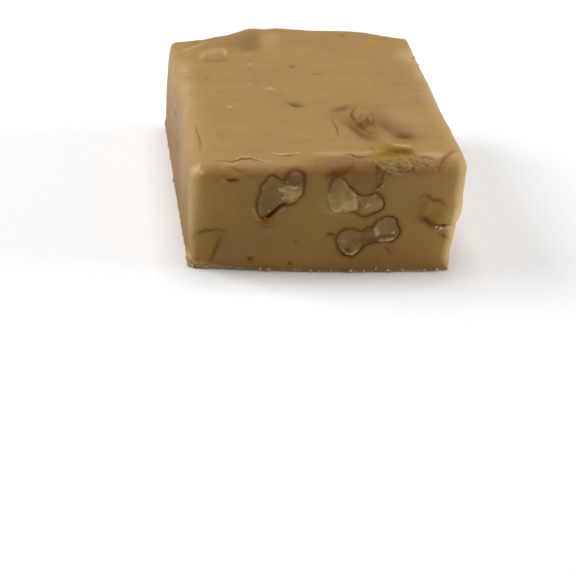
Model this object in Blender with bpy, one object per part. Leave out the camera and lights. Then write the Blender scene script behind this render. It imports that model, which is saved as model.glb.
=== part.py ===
"""One hand-cut square of walnut fudge, at its real size.

Metres, +Z up. The origin is the centre of the flat underside, the front is the cut face
at -Y, and the back-left corner of the top is the lowest. The block is one solid, and each
walnut piece that the cuts or the top lay bare is a solid of its own in its pocket.
Places and sizes on the block are written in millimetres times MM.
"""

import math

import bmesh
import bpy
import numpy as np
from mathutils import Matrix, Vector, noise
from mathutils.bvhtree import BVHTree

MM = 0.001

# Size of the block, and how its walls are grown and rounded
WIDTH = 55 * MM
DEPTH = 57 * MM
HEIGHT = 24.4 * MM
FRONT_LEFT_ROUNDING = 3.0 * MM
FRONT_RIGHT_ROUNDING = 3.1 * MM
MIDDLE_SHARPER = 0.9 * MM
BACK_ROUNDING = 1.1 * MM
FOOT_ROUNDING = 0.3 * MM
FOOT_SHARE = 0.12
LEFT_BULGE = 0.4 * MM
RIGHT_BULGE = 0.75 * MM
FRONT_BULGE = 1.2 * MM
BACK_BULGE = 1.6 * MM

# The worn corner at the front left of the foot: how much rounder it is, and how far that reaches
WORN_CORNER = (-27 * MM, -28 * MM, 0.0)
CORNER_WEAR = 1.7 * MM
WEAR_REACH = 6 * MM

# How far the knife left each corner off a plain box: right, back and up, in millimetres
CORNER_SHIFTS = {
    (-1, -1, 0): (0.5, 0.5, 0.0),
    (1, -1, 0): (0.3, -1.3, 0.0),
    (-1, 1, 0): (-0.6, 0.7, 0.0),
    (1, 1, 0): (0.0, 0.0, 0.0),
    (-1, -1, 1): (0.2, -0.2, -0.4),
    (1, -1, 1): (1.3, 0.6, 1.6),
    (-1, 1, 1): (-0.1, -0.5, -1.7),
    (1, 1, 1): (-0.2, 0.2, 0.1),
}

# Mesh fineness
CELL = 0.5 * MM
BLOCK_TRIANGLES = 6200
OUTLINE_POINTS = 26
POCKET_GAP = 0.3 * MM
OVERSHOOT = 2.5 * MM

# Gentle unevenness of every wall: size of the waves, and their height
WAVE_SIZE = 13 * MM
WAVE_HEIGHT = 0.28 * MM
RIPPLE_SIZE = 3.6 * MM
RIPPLE_HEIGHT = 0.07 * MM
BAND_SIZE = 3.2 * MM
BAND_STRETCH = 9.0
BAND_HEIGHT = 0.10 * MM

# Swellings (+) and hollows (-) of the top. Each is x, y, half length, half width, turn in degrees,
# height and how steep its flanks are, where 1 is soft and 3 is nearly a step
TOP_SWELLS = [
    (4.0, 29.0, 17.0, 15.0, 0, 1.45, 1),
    (17.5, 29.0, 5.0, 7.0, 0, 0.45, 1),
    (-8.0, 31.5, 9.0, 5.0, 0, 2.20, 1),
    (-5.4, 25.6, 3.6, 2.0, 80, 0.70, 2),
    (-10.4, 24.8, 3.4, 2.8, 50, -1.00, 1),
    (-16.5, 26.0, 5.0, 3.0, 10, -0.30, 1),
    (-18.4, 20.6, 3.0, 2.9, 0, 0.60, 2),
    (-16.3, 20.8, 2.6, 0.9, 80, 0.26, 1.5),
    (14.5, -12.6, 4.6, 1.5, -70, -0.50, 1),
    (17.6, -17.4, 1.5, 1.1, 0, -0.35, 1),
    (7.9, -14.6, 4.0, 1.4, -68, -0.60, 1),
    (11.8, -19.4, 2.4, 0.75, -78, 0.45, 1.5),
    (6.0, -5.1, 1.8, 0.9, 25, -0.20, 1),
    (10.5, -10.0, 6.5, 5.0, -80, 0.35, 1),
    (-3.2, -3.2, 1.2, 0.55, -35, -0.55, 1),
    (-1.7, 13.6, 0.75, 0.5, 0, -0.35, 1),
    (2.9, 10.6, 0.75, 0.5, -20, -0.35, 1),
    (-8.0, 4.1, 0.9, 0.5, 0, 0.22, 1.5),
    (-12.0, 6.2, 0.5, 0.4, 0, 0.18, 1.5),
    (-25.4, -25.8, 0.7, 0.6, 30, -0.45, 1),
    (-24.4, -25.2, 0.9, 0.5, 70, 0.30, 1.5),
]

# The same for the front wall, in x and z
FRONT_SWELLS = [
    (-18.9, 21.7, 1.5, 0.4, 4, -0.55, 1),
    (-18.5, 22.4, 1.5, 0.4, 4, 0.20, 1),
    (-14.4, 2.8, 0.55, 0.45, 0, -0.35, 1),
    (-6.2, 2.1, 0.55, 0.45, 0, -0.35, 1),
    (-5.6, 7.5, 0.5, 0.4, 0, -0.25, 1),
    (1.4, 9.4, 0.85, 0.45, 5, -0.40, 1),
    (-12.1, 11.2, 1.4, 0.6, -8, 0.30, 1),
    (13.7, 8.0, 1.5, 0.6, 18, 0.30, 1.5),
    (2.8, 24.0, 2.6, 0.5, 14, 0.25, 1),
]

# The same for the left wall in y and z, then for the right wall in y and z
LEFT_SWELLS = [
    (6.5, 16.4, 0.6, 0.5, 0, -0.45, 1),
    (-8.0, 7.4, 0.5, 0.4, 0, -0.25, 1),
    (27.4, 1.6, 1.2, 0.9, 0, 0.35, 1),
    (4.0, 12.0, 20.0, 3.0, 3, 0.18, 1),
]
RIGHT_SWELLS = [
    (-20.5, 19.8, 1.3, 0.45, 12, -0.45, 1),
    (4.6, 4.6, 0.6, 0.45, 0, -0.35, 1),
    (22.6, 13.8, 0.6, 0.5, 0, -0.35, 1),
    (-6.0, 19.6, 14.0, 2.2, -2, 0.18, 1),
]

# The same for the back wall, in x and z
BACK_SWELLS = [
    (16.8, 19.2, 1.6, 0.5, -8, -0.50, 1),
    (-1.2, 5.2, 0.6, 0.5, 0, -0.35, 1),
    (-19.0, 6.6, 0.9, 0.4, 10, -0.40, 1),
]

# Cracks, as the points that each runs through, its half width and its depth
TOP_CRACKS = [
    ([(-22.0, -26.0), (-19.6, -26.8), (-17.4, -25.9), (-15.4, -26.1), (-12.6, -27.0)], 0.34, 0.60),
    ([(-10.5, -24.3), (-8.4, -24.0), (-5.9, -24.4)], 0.34, 0.35),
    ([(3.7, -24.7), (4.6, -24.5), (6.1, -26.0), (9.3, -25.4)], 0.36, 0.65),
    ([(17.9, -26.1), (19.8, -26.2), (21.5, -27.1)], 0.40, 0.55),
    ([(22.4, -28.6), (24.0, -26.6), (26.5, -24.4)], 0.40, 0.70),
    ([(-25.3, -11.0), (-24.8, -17.0), (-24.9, -21.6)], 0.34, 0.50),
    ([(-25.0, 1.4), (-25.2, 4.6)], 0.34, 0.35),
    ([(3.5, -9.8), (3.9, -13.4), (3.7, -16.8)], 0.32, 0.40),
]
FRONT_CRACKS = [
    ([(12.5, 6.5), (13.7, 5.9), (14.8, 4.9)], 0.34, 0.40),
    ([(25.0, 9.0), (26.7, 7.8)], 0.36, 0.40),
    ([(10.8, 23.6), (10.7, 22.4), (10.3, 21.1), (10.2, 19.9)], 0.50, 0.80),
    ([(-8.3, 16.3), (-9.4, 15.3), (-10.4, 13.9), (-11.6, 13.1), (-12.8, 12.9)], 0.50, 1.20),
    ([(20.6, 12.6), (22.7, 11.6), (24.7, 10.8), (27.4, 10.8)], 0.42, 0.90),
]

# Swellings of the walnuts' cut faces, as on the front wall, in x and z
NUT_SWELLS = [
    (-7.4, 19.0, 2.8, 1.5, 58, 0.40, 1.5),
    (-11.6, 18.4, 3.6, 1.7, 76, -0.20, 1.5),
    (-6.8, 23.0, 1.3, 1.2, 0, 0.25, 1.5),
    (3.0, 17.1, 3.0, 2.4, -20, 0.40, 1.5),
    (8.6, 16.4, 2.6, 1.6, 0, 0.20, 1.5),
    (6.3, 15.3, 0.5, 2.0, -30, -0.35, 1),
    (5.3, 5.2, 1.6, 0.7, 8, 0.40, 1.5),
    (10.3, 10.2, 1.0, 1.6, 0, 0.35, 1.5),
    (5.9, 8.3, 2.2, 1.4, 10, -0.20, 1.5),
    (13.3, 8.2, 1.8, 0.7, 18, 0.45, 1.5),
    (13.7, 11.2, 1.6, 1.6, 0, -0.15, 1.5),
    (25.6, 13.1, 2.2, 1.8, 0, 0.35, 1.5),
    (-24.0, 5.9, 2.4, 3.4, -20, 0.45, 1.5),
]

# Walls that a walnut can show in: a unit across it, up it and out of it
WALLS = {
    "front": (Vector((1, 0, 0)), Vector((0, 0, 1)), Vector((0, -1, 0))),
    "right": (Vector((0, 1, 0)), Vector((0, 0, 1)), Vector((1, 0, 0))),
    "back": (Vector((-1, 0, 0)), Vector((0, 0, 1)), Vector((0, 1, 0))),
    "left": (Vector((0, -1, 0)), Vector((0, 0, 1)), Vector((-1, 0, 0))),
}

# Walnut pieces cut through by the knife: wall, how deep they reach, and the outline of the cut
CUT_WALNUTS = {
    "walnut_front_heart": ("front", 5.2, [
        (-14.2, 15.4), (-13.8, 17.8), (-13.3, 20.7), (-12.7, 22.0), (-11.3, 22.9), (-10.1, 22.3),
        (-8.9, 21.6), (-8.4, 22.8), (-7.7, 23.8), (-6.1, 23.9), (-5.3, 23.2), (-4.9, 21.8),
        (-4.8, 19.6), (-5.4, 17.8), (-6.8, 16.4), (-8.1, 16.1), (-9.2, 15.9), (-10.0, 14.9),
        (-11.0, 13.6), (-12.3, 12.8), (-13.5, 13.6)]),
    "walnut_front_fork": ("front", 5.6, [
        (0.2, 19.4), (0.4, 21.3), (0.8, 22.6), (2.0, 23.1), (3.1, 22.4), (4.6, 20.6), (5.7, 19.4),
        (6.9, 18.7), (8.3, 18.7), (10.0, 19.0), (11.1, 18.4), (11.9, 16.9), (11.9, 15.4),
        (10.3, 14.4), (8.5, 13.6), (7.0, 13.8), (5.9, 14.4), (4.2, 14.4), (2.3, 14.5), (0.9, 15.6),
        (0.0, 17.3)]),
    "walnut_front_bone": ("front", 4.6, [
        (2.8, 8.5), (3.4, 10.0), (4.6, 10.6), (6.1, 10.7), (7.6, 10.2), (8.8, 10.8), (10.1, 11.2),
        (11.0, 12.6), (12.2, 13.4), (13.9, 13.7), (15.0, 12.8), (15.8, 11.1), (16.0, 9.6),
        (15.4, 8.1), (14.4, 7.6), (12.9, 7.4), (11.6, 7.4), (10.4, 7.1), (9.1, 6.7), (8.4, 5.7),
        (7.6, 4.5), (6.4, 3.8), (4.8, 4.5), (3.6, 5.7), (3.0, 7.0)]),
    "walnut_right_edge": ("front", 5.4, [
        (18.7, 15.7), (19.1, 17.7), (20.6, 18.0), (23.3, 16.8), (26.0, 15.5), (29.0, 15.6),
        (29.4, 12.5), (28.4, 11.1), (25.2, 11.2), (22.3, 11.9), (19.8, 13.5)]),
    "walnut_left_foot": ("front", 4.4, [
        (-27.6, 5.3), (-26.4, 7.9), (-24.5, 9.8), (-22.1, 9.9), (-20.8, 8.2), (-21.3, 5.6),
        (-22.4, 3.2), (-24.6, 2.2), (-27.4, 2.8)]),
    "walnut_right_long": ("right", 5.0, [
        (-13.5, 8.4), (-12.2, 11.0), (-9.4, 12.5), (-6.4, 12.0), (-4.4, 12.9), (-1.6, 13.9),
        (0.8, 12.9), (0.9, 10.6), (-1.2, 9.2), (-3.8, 9.0), (-5.6, 7.2), (-8.6, 6.4), (-11.6, 6.4)]),
    "walnut_right_curl": ("right", 5.0, [
        (7.8, 15.2), (8.2, 18.4), (10.6, 20.3), (13.8, 20.3), (16.3, 18.4), (16.3, 15.4),
        (14.4, 14.3), (12.7, 15.6), (11.6, 14.4), (10.0, 13.0)]),
    "walnut_right_low": ("right", 4.2, [
        (12.4, 4.6), (13.4, 6.8), (15.8, 7.9), (18.0, 7.0), (20.4, 6.9), (21.3, 4.8), (19.4, 3.2),
        (15.4, 2.6)]),
    "walnut_back_wing": ("back", 5.4, [
        (-15.6, 11.0), (-15.2, 14.2), (-12.8, 16.4), (-10.2, 15.4), (-8.4, 16.8), (-5.4, 17.4),
        (-3.4, 15.0), (-4.2, 12.4), (-7.0, 11.6), (-9.2, 10.6), (-10.6, 8.4), (-13.6, 8.2)]),
    "walnut_back_round": ("back", 5.0, [
        (4.4, 8.6), (4.9, 11.6), (7.2, 13.5), (9.4, 12.6), (11.8, 12.8), (13.0, 10.2), (12.0, 7.4),
        (9.4, 6.6), (7.0, 5.4)]),
    "walnut_back_sliver": ("back", 4.0, [
        (14.4, 17.2), (16.2, 19.4), (19.2, 19.6), (21.6, 20.6), (23.2, 18.6), (20.8, 17.4), (17.6, 16.2)]),
}

# The kernel that stands out of the top is a round head with a low tail towards the front.
# Each is an egg: its centre over the top, its half sizes and its turn in degrees
TOP_HEAD = ((9.9, -9.2, -1.0), (2.4, 4.2, 2.7), 6)
TOP_TAIL = ((11.1, -14.0, -1.0), (1.6, 4.9, 1.7), 12)
TOP_INSIDE = (10.4, -10.6, -0.6)
FURROW_WIDTH = 2.2 * MM
FURROW_DEPTH = 0.35 * MM

# The broken kernel in the front edge of the top: centre, half sizes, how ragged its outline is,
# and the height of the crumbs it shows
RIM_KERNEL = Vector((13.6, -26.0, 25.2)) * MM
RIM_KERNEL_SIZE = (4.5 * MM, 5.0 * MM, 2.1 * MM)
RAGGED_SIZE = 2.6 * MM
RAGGED_SHARE = 0.22
RIM_CRUMB_SIZE = 1.3 * MM
RIM_CRUMB_HEIGHT = 0.5 * MM

# Relief of the walnuts' cut faces
NUT_WAVE_SIZE = 2.6 * MM
NUT_WAVE_HEIGHT = 0.22 * MM
NUT_CRUMB_SIZE = 1.1 * MM
NUT_CRUMB_HEIGHT = 0.12 * MM
NUT_FORM_TRIANGLES = 26000
NUT_TRIANGLES = 240
TOP_KERNEL_TRIANGLES = 480
TOP_POCKET_TRIANGLES = 320
RIM_KERNEL_TRIANGLES = 600
RIM_POCKET_TRIANGLES = 260

FUDGE_COLOUR = (0.40, 0.25, 0.12, 1)
WALNUT_COLOUR = (0.33, 0.23, 0.11, 1)
FUDGE_ROUGHNESS = 0.55
WALNUT_ROUGHNESS = 0.6


def clear_scene():
    for obj in list(bpy.data.objects):
        bpy.data.objects.remove(obj)


def material(name, colour, roughness):
    made = bpy.data.materials.new(name)
    made.use_nodes = True
    shader = made.node_tree.nodes["Principled BSDF"]
    shader.inputs["Base Color"].default_value = colour
    shader.inputs["Roughness"].default_value = roughness
    shader.inputs["Metallic"].default_value = 0.0
    return made


def add_object(name, mesh, finish=None):
    obj = bpy.data.objects.new(name, mesh)
    bpy.context.scene.collection.objects.link(obj)
    if finish:
        mesh.materials.append(finish)
    return obj


def add_helper(name, mesh):
    """A cutter or guide, which is no part of the object."""
    obj = add_object(name, mesh)
    obj.hide_render = True
    obj.display_type = "WIRE"
    return obj


def mesh_from(bm, name):
    mesh = bpy.data.meshes.new(name)
    bm.to_mesh(mesh)
    bm.free()
    return mesh


def points_of(mesh):
    points = np.empty(len(mesh.vertices) * 3, np.float64)
    mesh.vertices.foreach_get("co", points)
    return points.reshape(-1, 3)


def set_points(mesh, points):
    mesh.vertices.foreach_set("co", points.astype(np.float32).ravel())
    mesh.update()


def gridded_box(name):
    """A box on the floor, WIDTH by DEPTH by HEIGHT, cut into cells about CELL wide."""
    bm = bmesh.new()
    bmesh.ops.create_cube(bm, size=1.0)
    for axis, side in enumerate((WIDTH, DEPTH, HEIGHT)):
        along = [
            e for e in bm.edges
            if abs((e.verts[0].co - e.verts[1].co)[axis]) > 0.5
        ]
        bmesh.ops.subdivide_edges(bm, edges=along, cuts=round(side / CELL) - 1, use_grid_fill=True)
    bmesh.ops.translate(bm, verts=bm.verts, vec=(0, 0, 0.5))
    bmesh.ops.scale(bm, verts=bm.verts, vec=(WIDTH, DEPTH, HEIGHT))
    return mesh_from(bm, name)


def rounded(points):
    """The box's points with its edges rounded, and the outward direction at each."""
    rightness = 0.5 + points[:, 0] / WIDTH
    backness = 0.5 + points[:, 1] / DEPTH
    front = FRONT_LEFT_ROUNDING + (FRONT_RIGHT_ROUNDING - FRONT_LEFT_ROUNDING) * rightness
    front -= MIDDLE_SHARPER * np.clip(1 - (2 * rightness - 1) ** 2, 0, 1)
    body = front + (BACK_ROUNDING - front) * backness
    foot = FOOT_ROUNDING + wear(points)
    radius = foot + (body - foot) * np.clip(points[:, 2] / HEIGHT / FOOT_SHARE, 0, 1)
    low = np.array([-WIDTH / 2, -DEPTH / 2, 0.0])
    high = np.array([WIDTH / 2, DEPTH / 2, HEIGHT])
    core = np.minimum(np.maximum(points, low + radius[:, None]), high - radius[:, None])
    out = points - core
    out /= np.linalg.norm(out, axis=1)[:, None]
    return core + out * radius[:, None], out


def wear(points):
    """How much rounder the foot is at each point, near the corner that has rubbed off."""
    away = np.linalg.norm(points - np.array(WORN_CORNER), axis=1)
    return CORNER_WEAR * np.exp(-((away / WEAR_REACH) ** 2))


def hand_cut(points):
    """The rounded box's points moved to where the real block's corners and bowed walls are."""
    u, v, w = points[:, 0] / (WIDTH / 2), points[:, 1] / (DEPTH / 2), points[:, 2] / HEIGHT
    moved = points.copy()
    for (sx, sy, top), shift in CORNER_SHIFTS.items():
        share = (1 + sx * u) / 2 * (1 + sy * v) / 2 * (w if top else 1 - w)
        moved += share[:, None] * np.array(shift) * MM
    bow = 1 - u**2
    moved[:, 1] += bow * (BACK_BULGE * (1 + v) / 2 - FRONT_BULGE * (1 - v) / 2)
    moved[:, 0] += (RIGHT_BULGE * (1 + u) / 2 - LEFT_BULGE * (1 - u) / 2) * 4 * w * (1 - w)
    return moved


def swell(across, up, spec):
    """Height of one swelling or hollow at each point of a wall."""
    x, y, length, width, turn, height, steepness = spec
    c, s = math.cos(math.radians(turn)), math.sin(math.radians(turn))
    dx, dy = across / MM - x, up / MM - y
    along, beside = dx * c + dy * s, dy * c - dx * s
    away = (along / length) ** 2 + (beside / width) ** 2
    return height * MM * np.exp(-(away**steepness))


def crack(across, up, spec):
    """Depth, as a negative height, of one crack at each point of a wall. It thins towards its ends."""
    path, half_width, depth = spec
    here = np.stack([across, up], axis=1) / MM
    nearest = np.full(len(here), 1e9)
    taper = np.zeros(len(here))
    runs = len(path) - 1
    for i in range(runs):
        a, b = np.array(path[i]), np.array(path[i + 1])
        t = np.clip((here - a) @ (b - a) / ((b - a) @ (b - a)), 0, 1)
        gap = np.linalg.norm(here - a - t[:, None] * (b - a), axis=1)
        closer = gap < nearest
        nearest[closer] = gap[closer]
        taper[closer] = np.sin(math.pi * (0.12 + 0.76 * (i + t[closer]) / runs))
    return -depth * MM * taper * np.exp(-((nearest / half_width) ** 2))


def facing(out, axis, side):
    """How much each point belongs to the wall that faces this way, from 0 to 1."""
    return np.clip(side * out[:, axis], 0, 1) ** 0.5


def relief(points, out):
    """How far each point of the block's surface stands out of the plain form."""
    x, y, z = points.T
    top, front = facing(out, 2, 1), facing(out, 1, -1)
    standing = np.zeros(len(points))
    walls = (
        (top, x, y, TOP_SWELLS),
        (front, x, z, FRONT_SWELLS),
        (facing(out, 1, 1), x, z, BACK_SWELLS),
        (facing(out, 0, -1), y, z, LEFT_SWELLS),
        (facing(out, 0, 1), y, z, RIGHT_SWELLS),
    )
    for share, across, up, specs in walls:
        for spec in specs:
            standing += share * swell(across, up, spec)
    for spec in TOP_CRACKS:
        standing += np.clip(out[:, 2] * 4, 0, 1) * crack(x, y, spec)
    for spec in FRONT_CRACKS:
        standing += front * crack(x, z, spec)
    for i, point in enumerate(points):
        place = Vector(point)
        standing[i] += WAVE_HEIGHT * noise.noise(place / WAVE_SIZE)
        standing[i] += RIPPLE_HEIGHT * noise.noise(place / RIPPLE_SIZE)
        band = Vector((place.x / BAND_STRETCH, place.y, place.z)) / BAND_SIZE
        standing[i] += BAND_HEIGHT * top[i] * noise.noise(band)
    return standing * np.clip(z / (2 * MM), 0, 1)


def nut_relief(points, out):
    """How far a walnut's cut face stands out of the block's own surface at each point."""
    front = facing(out, 1, -1)
    standing = np.zeros(len(points))
    for spec in NUT_SWELLS:
        standing += front * swell(points[:, 0], points[:, 2], spec)
    for i, point in enumerate(points):
        place = Vector(point)
        standing[i] += NUT_WAVE_HEIGHT * noise.noise(place / NUT_WAVE_SIZE)
        standing[i] += NUT_CRUMB_HEIGHT * noise.noise(place / NUT_CRUMB_SIZE)
    return standing


def whole_form(name, triangles, of_nuts):
    """The mesh of the whole block with no pockets, thinned where it is plain."""
    mesh = gridded_box(name)
    points, out = rounded(points_of(mesh))
    points = hand_cut(points)
    standing = relief(points, out)
    if of_nuts:
        standing += nut_relief(points, out)
    points += out * standing[:, None]
    points[:, 2] = np.maximum(points[:, 2], 0)
    set_points(mesh, points)
    return add_helper(name, thinned(mesh, name, triangles))


def thinned(mesh, name, triangles):
    """A copy of the mesh with that many triangles, fewest where it is plain."""
    guide = add_helper(name + "_guide", mesh)
    thin = guide.modifiers.new("thin", "DECIMATE")
    thin.ratio = min(1.0, triangles / sum(len(f.vertices) - 2 for f in mesh.polygons))
    bpy.context.view_layer.update()
    graph = bpy.context.evaluated_depsgraph_get()
    result = bpy.data.meshes.new_from_object(guide.evaluated_get(graph))
    result.name = name
    bpy.data.objects.remove(guide)
    return result


def smooth_outline(corners, count):
    """Points evenly spread along a smooth closed curve through the corners."""
    corners = np.array(corners, float)
    before, after = np.roll(corners, 1, axis=0), np.roll(corners, -1, axis=0)
    beyond = np.roll(corners, -2, axis=0)
    fine = []
    for t in np.linspace(0, 1, 12, endpoint=False):
        fine.append(
            corners
            + 0.5 * t * (after - before)
            + t**2 * (before - 2.5 * corners + 2 * after - 0.5 * beyond)
            + 0.5 * t**3 * (3 * corners - 3 * after + beyond - before)
        )
    curve = np.stack(fine, axis=1).reshape(-1, 2)
    steps = np.linalg.norm(np.roll(curve, -1, axis=0) - curve, axis=1)
    reach = np.concatenate([[0], np.cumsum(steps)])
    closed = np.vstack([curve, curve[:1]])
    at = np.linspace(0, reach[-1], count, endpoint=False)
    return np.stack([np.interp(at, reach, closed[:, k]) for k in (0, 1)], axis=1)


def grown(outline, by):
    """The outline moved outwards by a constant distance."""
    ahead, behind = np.roll(outline, -1, axis=0), np.roll(outline, 1, axis=0)
    along = ahead - behind
    sideways = np.stack([along[:, 1], -along[:, 0]], axis=1)
    area = np.sum(outline[:, 0] * ahead[:, 1] - ahead[:, 0] * outline[:, 1])
    sideways *= math.copysign(1, area) / np.linalg.norm(sideways, axis=1)[:, None]
    return outline + sideways * by


def kernel_mesh(name, wall, depth, corners, gap=0.0):
    """A walnut piece as a blunt dome: it starts outside the wall and rounds off inside the block."""
    across, up, out = WALLS[wall]
    outline = grown(smooth_outline(corners, OUTLINE_POINTS) * MM, gap)
    middle = outline.mean(axis=0)
    face = (WIDTH if abs(out.x) else DEPTH) / 2
    reach = depth * MM + gap
    rings = [(-OVERSHOOT, 1.0), (0.25 * reach, 1.0), (0.62 * reach, 0.84), (0.9 * reach, 0.5)]
    bm = bmesh.new()
    loops = []
    for inwards, size in rings:
        flat = middle + (outline - middle) * size
        place = out * (face - inwards)
        loops.append([bm.verts.new(place + across * x + up * z) for x, z in flat])
    for outer, inner in zip(loops, loops[1:]):
        for i in range(OUTLINE_POINTS):
            j = (i + 1) % OUTLINE_POINTS
            bm.faces.new((outer[i], outer[j], inner[j], inner[i]))
    bm.faces.new(loops[0])
    tip = bm.verts.new(out * (face - reach) + across * middle[0] + up * middle[1])
    for i in range(OUTLINE_POINTS):
        bm.faces.new((loops[-1][i], loops[-1][(i + 1) % OUTLINE_POINTS], tip))
    bmesh.ops.triangulate(bm, faces=[f for f in bm.faces if len(f.verts) > 4])
    bmesh.ops.recalc_face_normals(bm, faces=bm.faces)
    return mesh_from(bm, name)


def add_boolean(obj, operation, other):
    cut = obj.modifiers.new(operation.lower(), "BOOLEAN")
    cut.operation = operation
    cut.solver = "EXACT"
    if isinstance(other, bpy.types.Collection):
        cut.operand_type = "COLLECTION"
        cut.collection = other
    else:
        cut.object = other


def cut_walnut(name, nut_form, pockets, finish):
    wall, depth, corners = CUT_WALNUTS[name]
    whole = add_helper(name + "_whole", kernel_mesh(name, wall, depth, corners))
    add_boolean(whole, "INTERSECT", nut_form)
    bpy.context.view_layer.update()
    graph = bpy.context.evaluated_depsgraph_get()
    cut = bpy.data.meshes.new_from_object(whole.evaluated_get(graph))
    add_object(name, thinned(cut, name, NUT_TRIANGLES), finish)
    bpy.data.objects.remove(whole)
    pocket = add_helper("pocket_" + name, kernel_mesh(name, wall, depth, corners, POCKET_GAP))
    pockets.objects.link(pocket)


def sphere(radius):
    bm = bmesh.new()
    bmesh.ops.create_icosphere(bm, subdivisions=4, radius=radius)
    return bm


def way_out(start, towards, egg, gap):
    """How far it is from the start to the outside of an egg."""
    centre_at, sizes, turn = egg
    back = Matrix.Rotation(math.radians(-turn), 3, "Z")
    from_middle = back @ (start - Vector(centre_at) * MM)
    heading = back @ towards
    p = Vector([a / (b * MM + gap) for a, b in zip(from_middle, sizes)])
    d = Vector([a / (b * MM + gap) for a, b in zip(heading, sizes)])
    inside = p.dot(d) ** 2 - d.dot(d) * (p.dot(p) - 1)
    return (math.sqrt(max(inside, 0)) - p.dot(d)) / d.dot(d)


def headed(ground, gap, furrows):
    """The top's kernel: its head and its tail as one body, with furrows that run along it."""
    bm = sphere(1.0)
    start = Vector(TOP_INSIDE) * MM
    for vert in bm.verts:
        towards = vert.co.normalized()
        reach = max(way_out(start, towards, egg, gap) for egg in (TOP_HEAD, TOP_TAIL))
        away = towards * reach
        ridge = math.cos(2 * math.pi * away.x / FURROW_WIDTH + 2.0 * noise.noise(away / (3 * MM)))
        vert.co = start + away - towards * furrows * (0.5 - 0.5 * ridge)
        vert.co.z += ground
    return bm


def top_kernel(form, pockets, finish):
    tree = BVHTree.FromObject(form, bpy.context.evaluated_depsgraph_get())
    x, y, _ = TOP_INSIDE
    ground = tree.ray_cast(Vector((x, y, 100)) * MM, Vector((0, 0, -1)))[0].z
    kernel = mesh_from(headed(ground, 0.0, FURROW_DEPTH), "walnut_top")
    add_object("walnut_top", thinned(kernel, "walnut_top", TOP_KERNEL_TRIANGLES), finish)
    egg = mesh_from(headed(ground, POCKET_GAP, 0.0), "pocket_walnut_top")
    pocket = thinned(egg, "pocket_walnut_top", TOP_POCKET_TRIANGLES)
    pockets.objects.link(add_helper("pocket_walnut_top", pocket))


def ragged(gap):
    """The broken kernel's egg with an uneven outline."""
    bm = sphere(1.0)
    for vert in bm.verts:
        towards = vert.co.copy()
        uneven = 1 + RAGGED_SHARE * noise.noise(towards * RIM_KERNEL_SIZE[0] / RAGGED_SIZE)
        vert.co = RIM_KERNEL + Vector([(a * b * uneven + a * gap) for a, b in zip(towards, RIM_KERNEL_SIZE)])
    return bm


def rim_kernel(form, pockets, finish):
    """The broken kernel in the top's front edge: crumbly where it is laid bare, round inside."""
    tree = BVHTree.FromObject(form, bpy.context.evaluated_depsgraph_get())
    bm = ragged(0.0)
    for vert in bm.verts:
        surface, out, _, _ = tree.find_nearest(vert.co)
        crumb = RIM_CRUMB_HEIGHT * noise.noise(vert.co / RIM_CRUMB_SIZE)
        if (vert.co - surface).dot(out) > crumb:
            vert.co = surface + out * crumb
    add_object("walnut_rim", thinned(mesh_from(bm, "walnut_rim"), "walnut_rim", RIM_KERNEL_TRIANGLES), finish)
    egg = mesh_from(ragged(POCKET_GAP), "pocket_walnut_rim")
    pocket = thinned(egg, "pocket_walnut_rim", RIM_POCKET_TRIANGLES)
    pockets.objects.link(add_helper("pocket_walnut_rim", pocket))


def shade(obj):
    obj.data.shade_smooth()
    obj.data.set_sharp_from_angle(angle=math.radians(40))


def centre(form):
    """Moves every object so that the origin is the centre of the underside of the whole."""
    walnuts = [obj for obj in bpy.context.scene.objects if not obj.hide_render and not obj.modifiers]
    points = np.vstack([points_of(obj.data) for obj in [form] + walnuts])
    low, high = points.min(axis=0), points.max(axis=0)
    shift = -Vector(((low[0] + high[0]) / 2, (low[1] + high[1]) / 2, low[2]))
    for obj in bpy.context.scene.objects:
        obj.location = shift


def main():
    clear_scene()
    fudge = material("fudge", FUDGE_COLOUR, FUDGE_ROUGHNESS)
    walnut = material("walnut", WALNUT_COLOUR, WALNUT_ROUGHNESS)
    form = whole_form("form", BLOCK_TRIANGLES, of_nuts=False)
    nut_form = whole_form("nut_form", NUT_FORM_TRIANGLES, of_nuts=True)
    pockets = bpy.data.collections.new("pockets")
    bpy.context.scene.collection.children.link(pockets)
    pockets.hide_render = True
    for name in CUT_WALNUTS:
        cut_walnut(name, nut_form, pockets, walnut)
    top_kernel(form, pockets, walnut)
    rim_kernel(form, pockets, walnut)
    block = add_object("fudge_block", form.data.copy(), fudge)
    add_boolean(block, "DIFFERENCE", pockets)
    centre(form)
    for obj in bpy.context.scene.objects:
        shade(obj)


main()
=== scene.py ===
"""One hand-cut square of walnut fudge, with the walnuts that its cuts and its top lay bare.

Metres, +Z up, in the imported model's frame: the front is the cut face at -Y and the underside
is at z 0. Places and sizes on the block are written in millimetres times MM. They are counted
from the middle of the block as it was measured, and settle() moves each finished piece by
CENTRE_SHIFT, so that the middle of the underside is the origin.
"""

import math
import random

import bpy
import numpy as np
from mathutils import Matrix, Vector, noise
from mathutils.bvhtree import BVHTree


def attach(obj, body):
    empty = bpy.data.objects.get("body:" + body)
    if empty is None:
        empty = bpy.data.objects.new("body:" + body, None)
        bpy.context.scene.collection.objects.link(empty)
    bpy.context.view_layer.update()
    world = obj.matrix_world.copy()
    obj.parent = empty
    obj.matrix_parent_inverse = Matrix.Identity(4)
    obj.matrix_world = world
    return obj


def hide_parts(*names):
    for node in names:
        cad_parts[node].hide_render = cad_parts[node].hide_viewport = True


bl_info = {
    "name": "Walnut fudge square",
    "version": (1, 0, 0),
    "blender": (4, 5, 0),
    "location": "3D View > Sidebar > Fudge",
    "description": "Builds one hand-cut square of walnut fudge",
    "category": "Object",
}

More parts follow.
